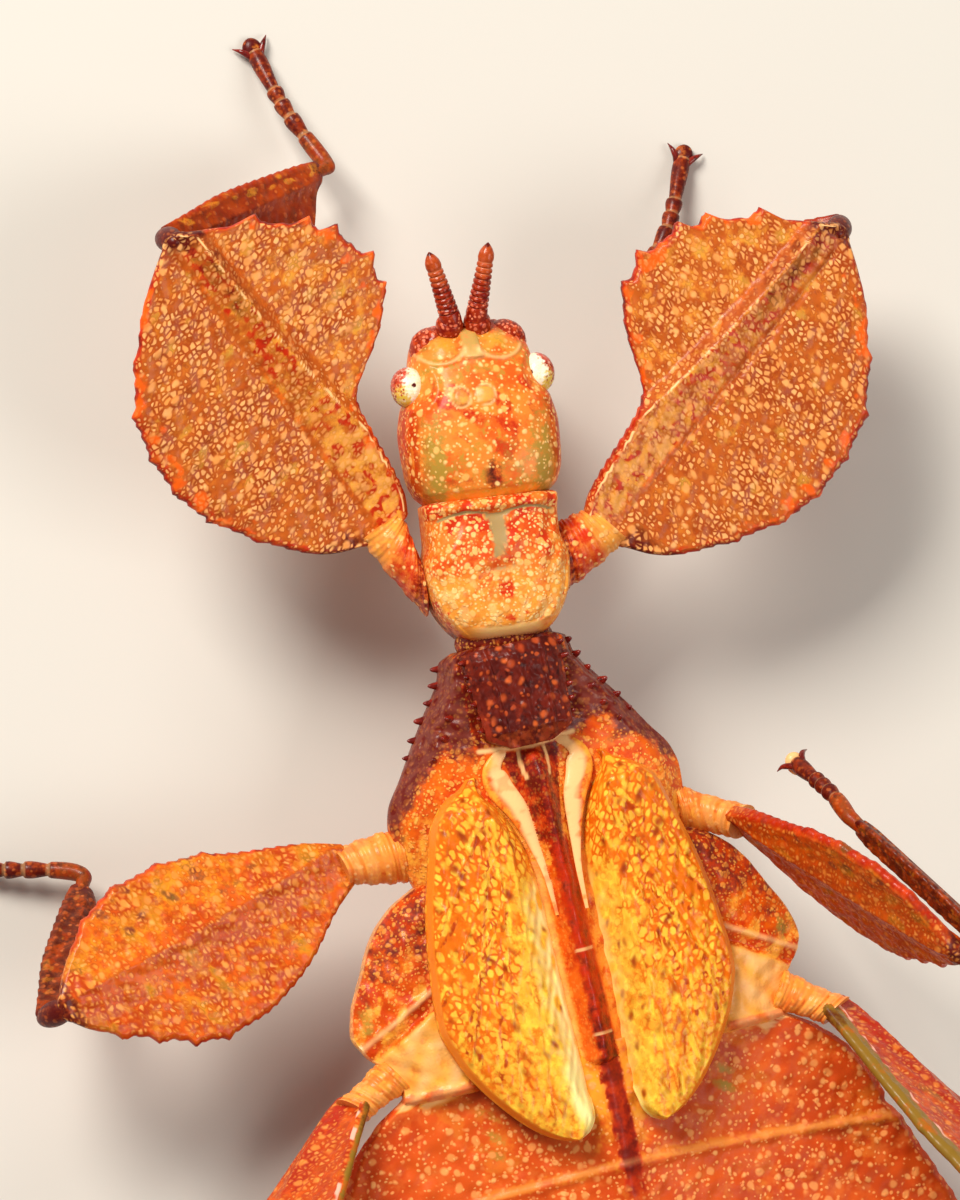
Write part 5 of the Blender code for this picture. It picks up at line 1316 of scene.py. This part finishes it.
def eye_shell(name, side):
    """A cream eye, its outer half speckled pink and red, with the small dark spot that seems to look back."""
    rings = ball_rings((0, 0, 0), EYE_SIZE, 96, 64)
    size = np.array(EYE_SIZE)
    direction = rings / np.linalg.norm(rings / size, axis=-1, keepdims=True) / size
    outward, backward = direction[..., 0] * side, direction[..., 1]
    rings = rings * (1 + 0.006 * blotches(rings, 0.12, 71)[..., None])
    centre = np.array([side * EYE_PLACE[0] + 0.06, EYE_PLACE[1], EYE_PLACE[2]])
    look = unit([0.175 - 0.34 * side, -0.05, 0.93])
    spot = 1 - step_up(np.linalg.norm(direction - look, axis=-1), 0.09, 0.15)
    turned = outward + 0.1 * blotches(rings, 0.2, 73)
    golden = step_up(turned + 0.6 * backward, 0.25, 0.6)
    reddened = step_up(turned - 0.8 * backward, 0.35, 1.0)
    speckled = step_up(turned - 0.2 * backward, 0.15, 0.5)
    return closed_shell(name, from_head(rings + centre), EYE, stack(spot, 0, 0.75 * golden, 0.8 * reddened),
                        stack(speckled, 0, 0, 0))


def feeler_shell(name, ends):
    """A feeler: a stout root joint, a row of beads that grow slimmer, and a long pointed last joint."""
    start, tip = (from_head(np.array(p)) for p in ends)
    ahead = unit(tip - start)
    path = [start - ahead * 0.35, start, start + (tip - start) * 0.5 + np.array([0, 0, 0.06]), tip]
    knots = [(0, 0.36), (0.1, 0.38), (0.17, 0.36)]
    edges = np.linspace(0.18, 0.76, BEADS)
    for number, (a, b) in enumerate(zip(edges, edges[1:])):
        full = 0.365 - 0.011 * number
        knots += [(a + 0.006, full * 0.84), (a + 0.35 * (b - a), full), (a + 0.7 * (b - a), full * 0.99),
                  (b - 0.006, full * 0.88)]
    knots += [(0.77, 0.262), (0.81, 0.285), (0.86, 0.27), (0.92, 0.2), (0.97, 0.1), (1.0, 0.02)]
    marks = np.linspace(0, 1, 220)[:, None]
    joint = np.clip(sum(band(marks, edge, 0.002, 0.012) for edge in edges), 0, 1)
    upper = step_up(marks, 0.45, 0.7)
    end = step_up(marks, 0.93, 0.985)
    base = 1 - step_up(marks, 0.2, 0.45)
    return closed_shell(name, tube_rings(path, knots, 44, 220), FEELER,
                        stack(0.9 * end, 0.45 * joint * (0.4 + 0.6 * upper), 0.8 * upper, 0),
                        stack(0.25 + 0.75 * base, 0, 0, 0))


def thorn(root, tip, thick):
    """A spine that starts inside the body and narrows to a point."""
    root, tip = np.array(root, float), np.array(tip, float)
    ahead = unit(tip - root)
    path = [root - ahead * thick * 1.2, root + ahead * 0.05, root * 0.5 + tip * 0.5, tip]
    radii = [(0, thick * 1.1), (0.3, thick * 1.05), (0.55, thick * 0.8), (0.8, thick * 0.55),
             (0.93, thick * 0.35), (1, 0.015)]
    return closed_shell("thorn", tube_rings(path, radii, 22, 30), SPINE)


# Each thorn of a flank: how far in from the thorax's side it stands, its y, its height and its thickness.
# On the left flank the first ones stand at the very side, low and pointing outward.
FLANK_THORNS = ((0.06, -2.95, 0.42, 0.16), (0.06, -2.4, 0.48, 0.17), (0.08, -1.85, 0.42, 0.16),
                (0.08, -1.3, 0.5, 0.19), (0.08, -0.7, 0.42, 0.16), (0.1, -0.15, 0.36, 0.14),
                (0.7, -1.2, 0.38, 0.15), (0.85, -0.55, 0.4, 0.16), (0.8, 0.1, 0.34, 0.15))
LOW_THORNS = 6
CREST_THORNS = (-2.95, -2.45, -1.95, -1.45, -0.95, -0.5)
# The knobs along the raised middle: the y and height of each pair.
KNOBS = ((-3.2, 0.3), (-2.72, 0.36), (-2.3, 0.3), (-1.9, 0.4), (-1.52, 0.32), (-1.16, 0.42), (-0.82, 0.34),
         (-0.5, 0.3), (-0.2, 0.22))


def thorn_shells():
    """The dark thorns on the thorax's flanks and crest, and the knobs along its raised middle."""
    shells = []
    for side in SIDES:
        for number, (inset, y, tall, thick) in enumerate(FLANK_THORNS):
            low = side > 0 and number < LOW_THORNS
            x = smooth(MESO_WIDE, np.array(y)) - inset - (0.0 if low else 0.1)
            z = body_top(MESO_WIDE)(x, np.array(y)) - (0.5 if low else 0.05)
            out = 0.78 if low else 0.75 * (0.5 + 0.15 * math.sin(number * 2.3))
            tip = (side * (x + out * tall), y - tall * 0.15, z + tall * (0.2 if low else 0.5))
            shells.append(thorn((side * x, y, z), tip, thick * 0.95))
        for number, y in enumerate(CREST_THORNS):
            tall = 0.3 + 0.06 * math.sin(number * 2.6 + side)
            x = side * (1.62 - 0.03 * number)
            shells.append(thorn((x, y, 7.75), (x + side * tall, y - 0.05, 7.95 + 0.3 * tall), 0.15))
    for number, (y, tall) in enumerate(KNOBS):
        for side in SIDES:
            x = 0.12 + 0.05 * math.sin(number * 1.7)
            z = back(np.array(x), np.array(y)) + 0.38
            shells.append(thorn((side * x, y, z), (side * (x + 0.06), y - 0.08, z + tall * 0.8), 0.13))
    return shells


# The whole insect, in the nodes' places

def dressed(piece, nodes=()):
    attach(piece, "root")
    if nodes:
        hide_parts(*nodes)


flesh = [head_shell(), pronotum_shell(), mesothorax_shell(), crest_shell(), metathorax_shell(),
         abdomen_shell()]
flesh += face_shells() + arm_shells() + neck_shells() + tail_shells()
hard = thorn_shells()
for name, leg in LEGS.items():
    flesh += leg_shells(name, leg)
    hard += claw_shells(leg)
flesh_nodes = ["head", "mouthparts", "prothorax", "mesothorax", "metathorax", "abdomen", "cercus_left",
               "cercus_right"]
flesh_nodes += [part + "_" + name for part in ("coxa", "femur", "tibia", "tarsus") for name in LEGS]
dressed(fused("skin", flesh), flesh_nodes)
for name, side in (("wing_pad_left", 1), ("wing_pad_right", -1)):
    dressed(wing_pad(name + "_skin", side), [name])
for name, side in EYES.items():
    dressed(eye_shell(name + "_dome", side), [name])
for name, ends in FEELERS.items():
    dressed(feeler_shell(name + "_beads", ends), [name])
dressed(fused("thorns_and_claws", hard))


# Floor, light and camera

def paper(name, colour, roughness):
    """Plain matt paper for the floor."""
    material = bpy.data.materials.new(name)
    material.use_nodes = True
    shader = material.node_tree.nodes["Principled BSDF"]
    shader.inputs["Base Color"].default_value = linear(colour)
    shader.inputs["Roughness"].default_value = roughness
    return material


floor_mesh = bpy.data.meshes.new("floor")
floor_mesh.from_pydata([(-2, -2, 0), (2, -2, 0), (2, 2, 0), (-2, 2, 0)], [], [(0, 1, 2, 3)])
floor_mesh.materials.append(paper("pale_paper", "#D9D6CF", 0.85))
linked(bpy.data.objects.new("floor", floor_mesh))

right = Vector(PICTURE_RIGHT).normalized()
ahead = Vector(LOOKS_ALONG).normalized()
right = (right - ahead * right.dot(ahead)).normalized()
above = right.cross(ahead)
centre = Vector(world(LOOKS_AT))


def lamp(name, way, far, size, watts, colour):
    """A soft square light; way is its direction along the picture's right, its up and toward the lens."""
    data = bpy.data.lights.new(name, "AREA")
    data.shape = "SQUARE"
    data.size = size
    data.energy = watts
    data.color = linear(colour)[:3]
    obj = linked(bpy.data.objects.new(name, data))
    toward = (right * way[0] + above * way[1] - ahead * way[2]).normalized()
    obj.location = centre + toward * far
    obj.rotation_euler = (-toward).to_track_quat("-Z", "Y").to_euler()


lamp("window_light", (-0.5, 0.8, 1.0), 0.35, 0.14, 1.55, "#FFF8EE")
lamp("fill_light", (0.9, -0.2, 0.8), 0.4, 0.2, 0.6, "#FFFAF4")

camera_data = bpy.data.cameras.new("camera")
camera_data.sensor_width = SENSOR
camera_data.lens = SENSOR * LENS_FAR / VIEW_HIGH
camera_data.clip_start = 0.01
camera = linked(bpy.data.objects.new("camera", camera_data))
camera.matrix_world = Matrix.Translation(centre - ahead * LENS_FAR * MM) @ Matrix(
    [(right[i], above[i], -ahead[i]) for i in range(3)]).to_4x4()
bpy.context.scene.camera = camera

sky = bpy.data.worlds.new("studio")
sky.use_nodes = True
sky.node_tree.nodes["Background"].inputs["Color"].default_value = linear("#EDEBE6")
sky.node_tree.nodes["Background"].inputs["Strength"].default_value = 0.3
bpy.context.scene.world = sky
bpy.context.scene.view_settings.view_transform = "Standard"
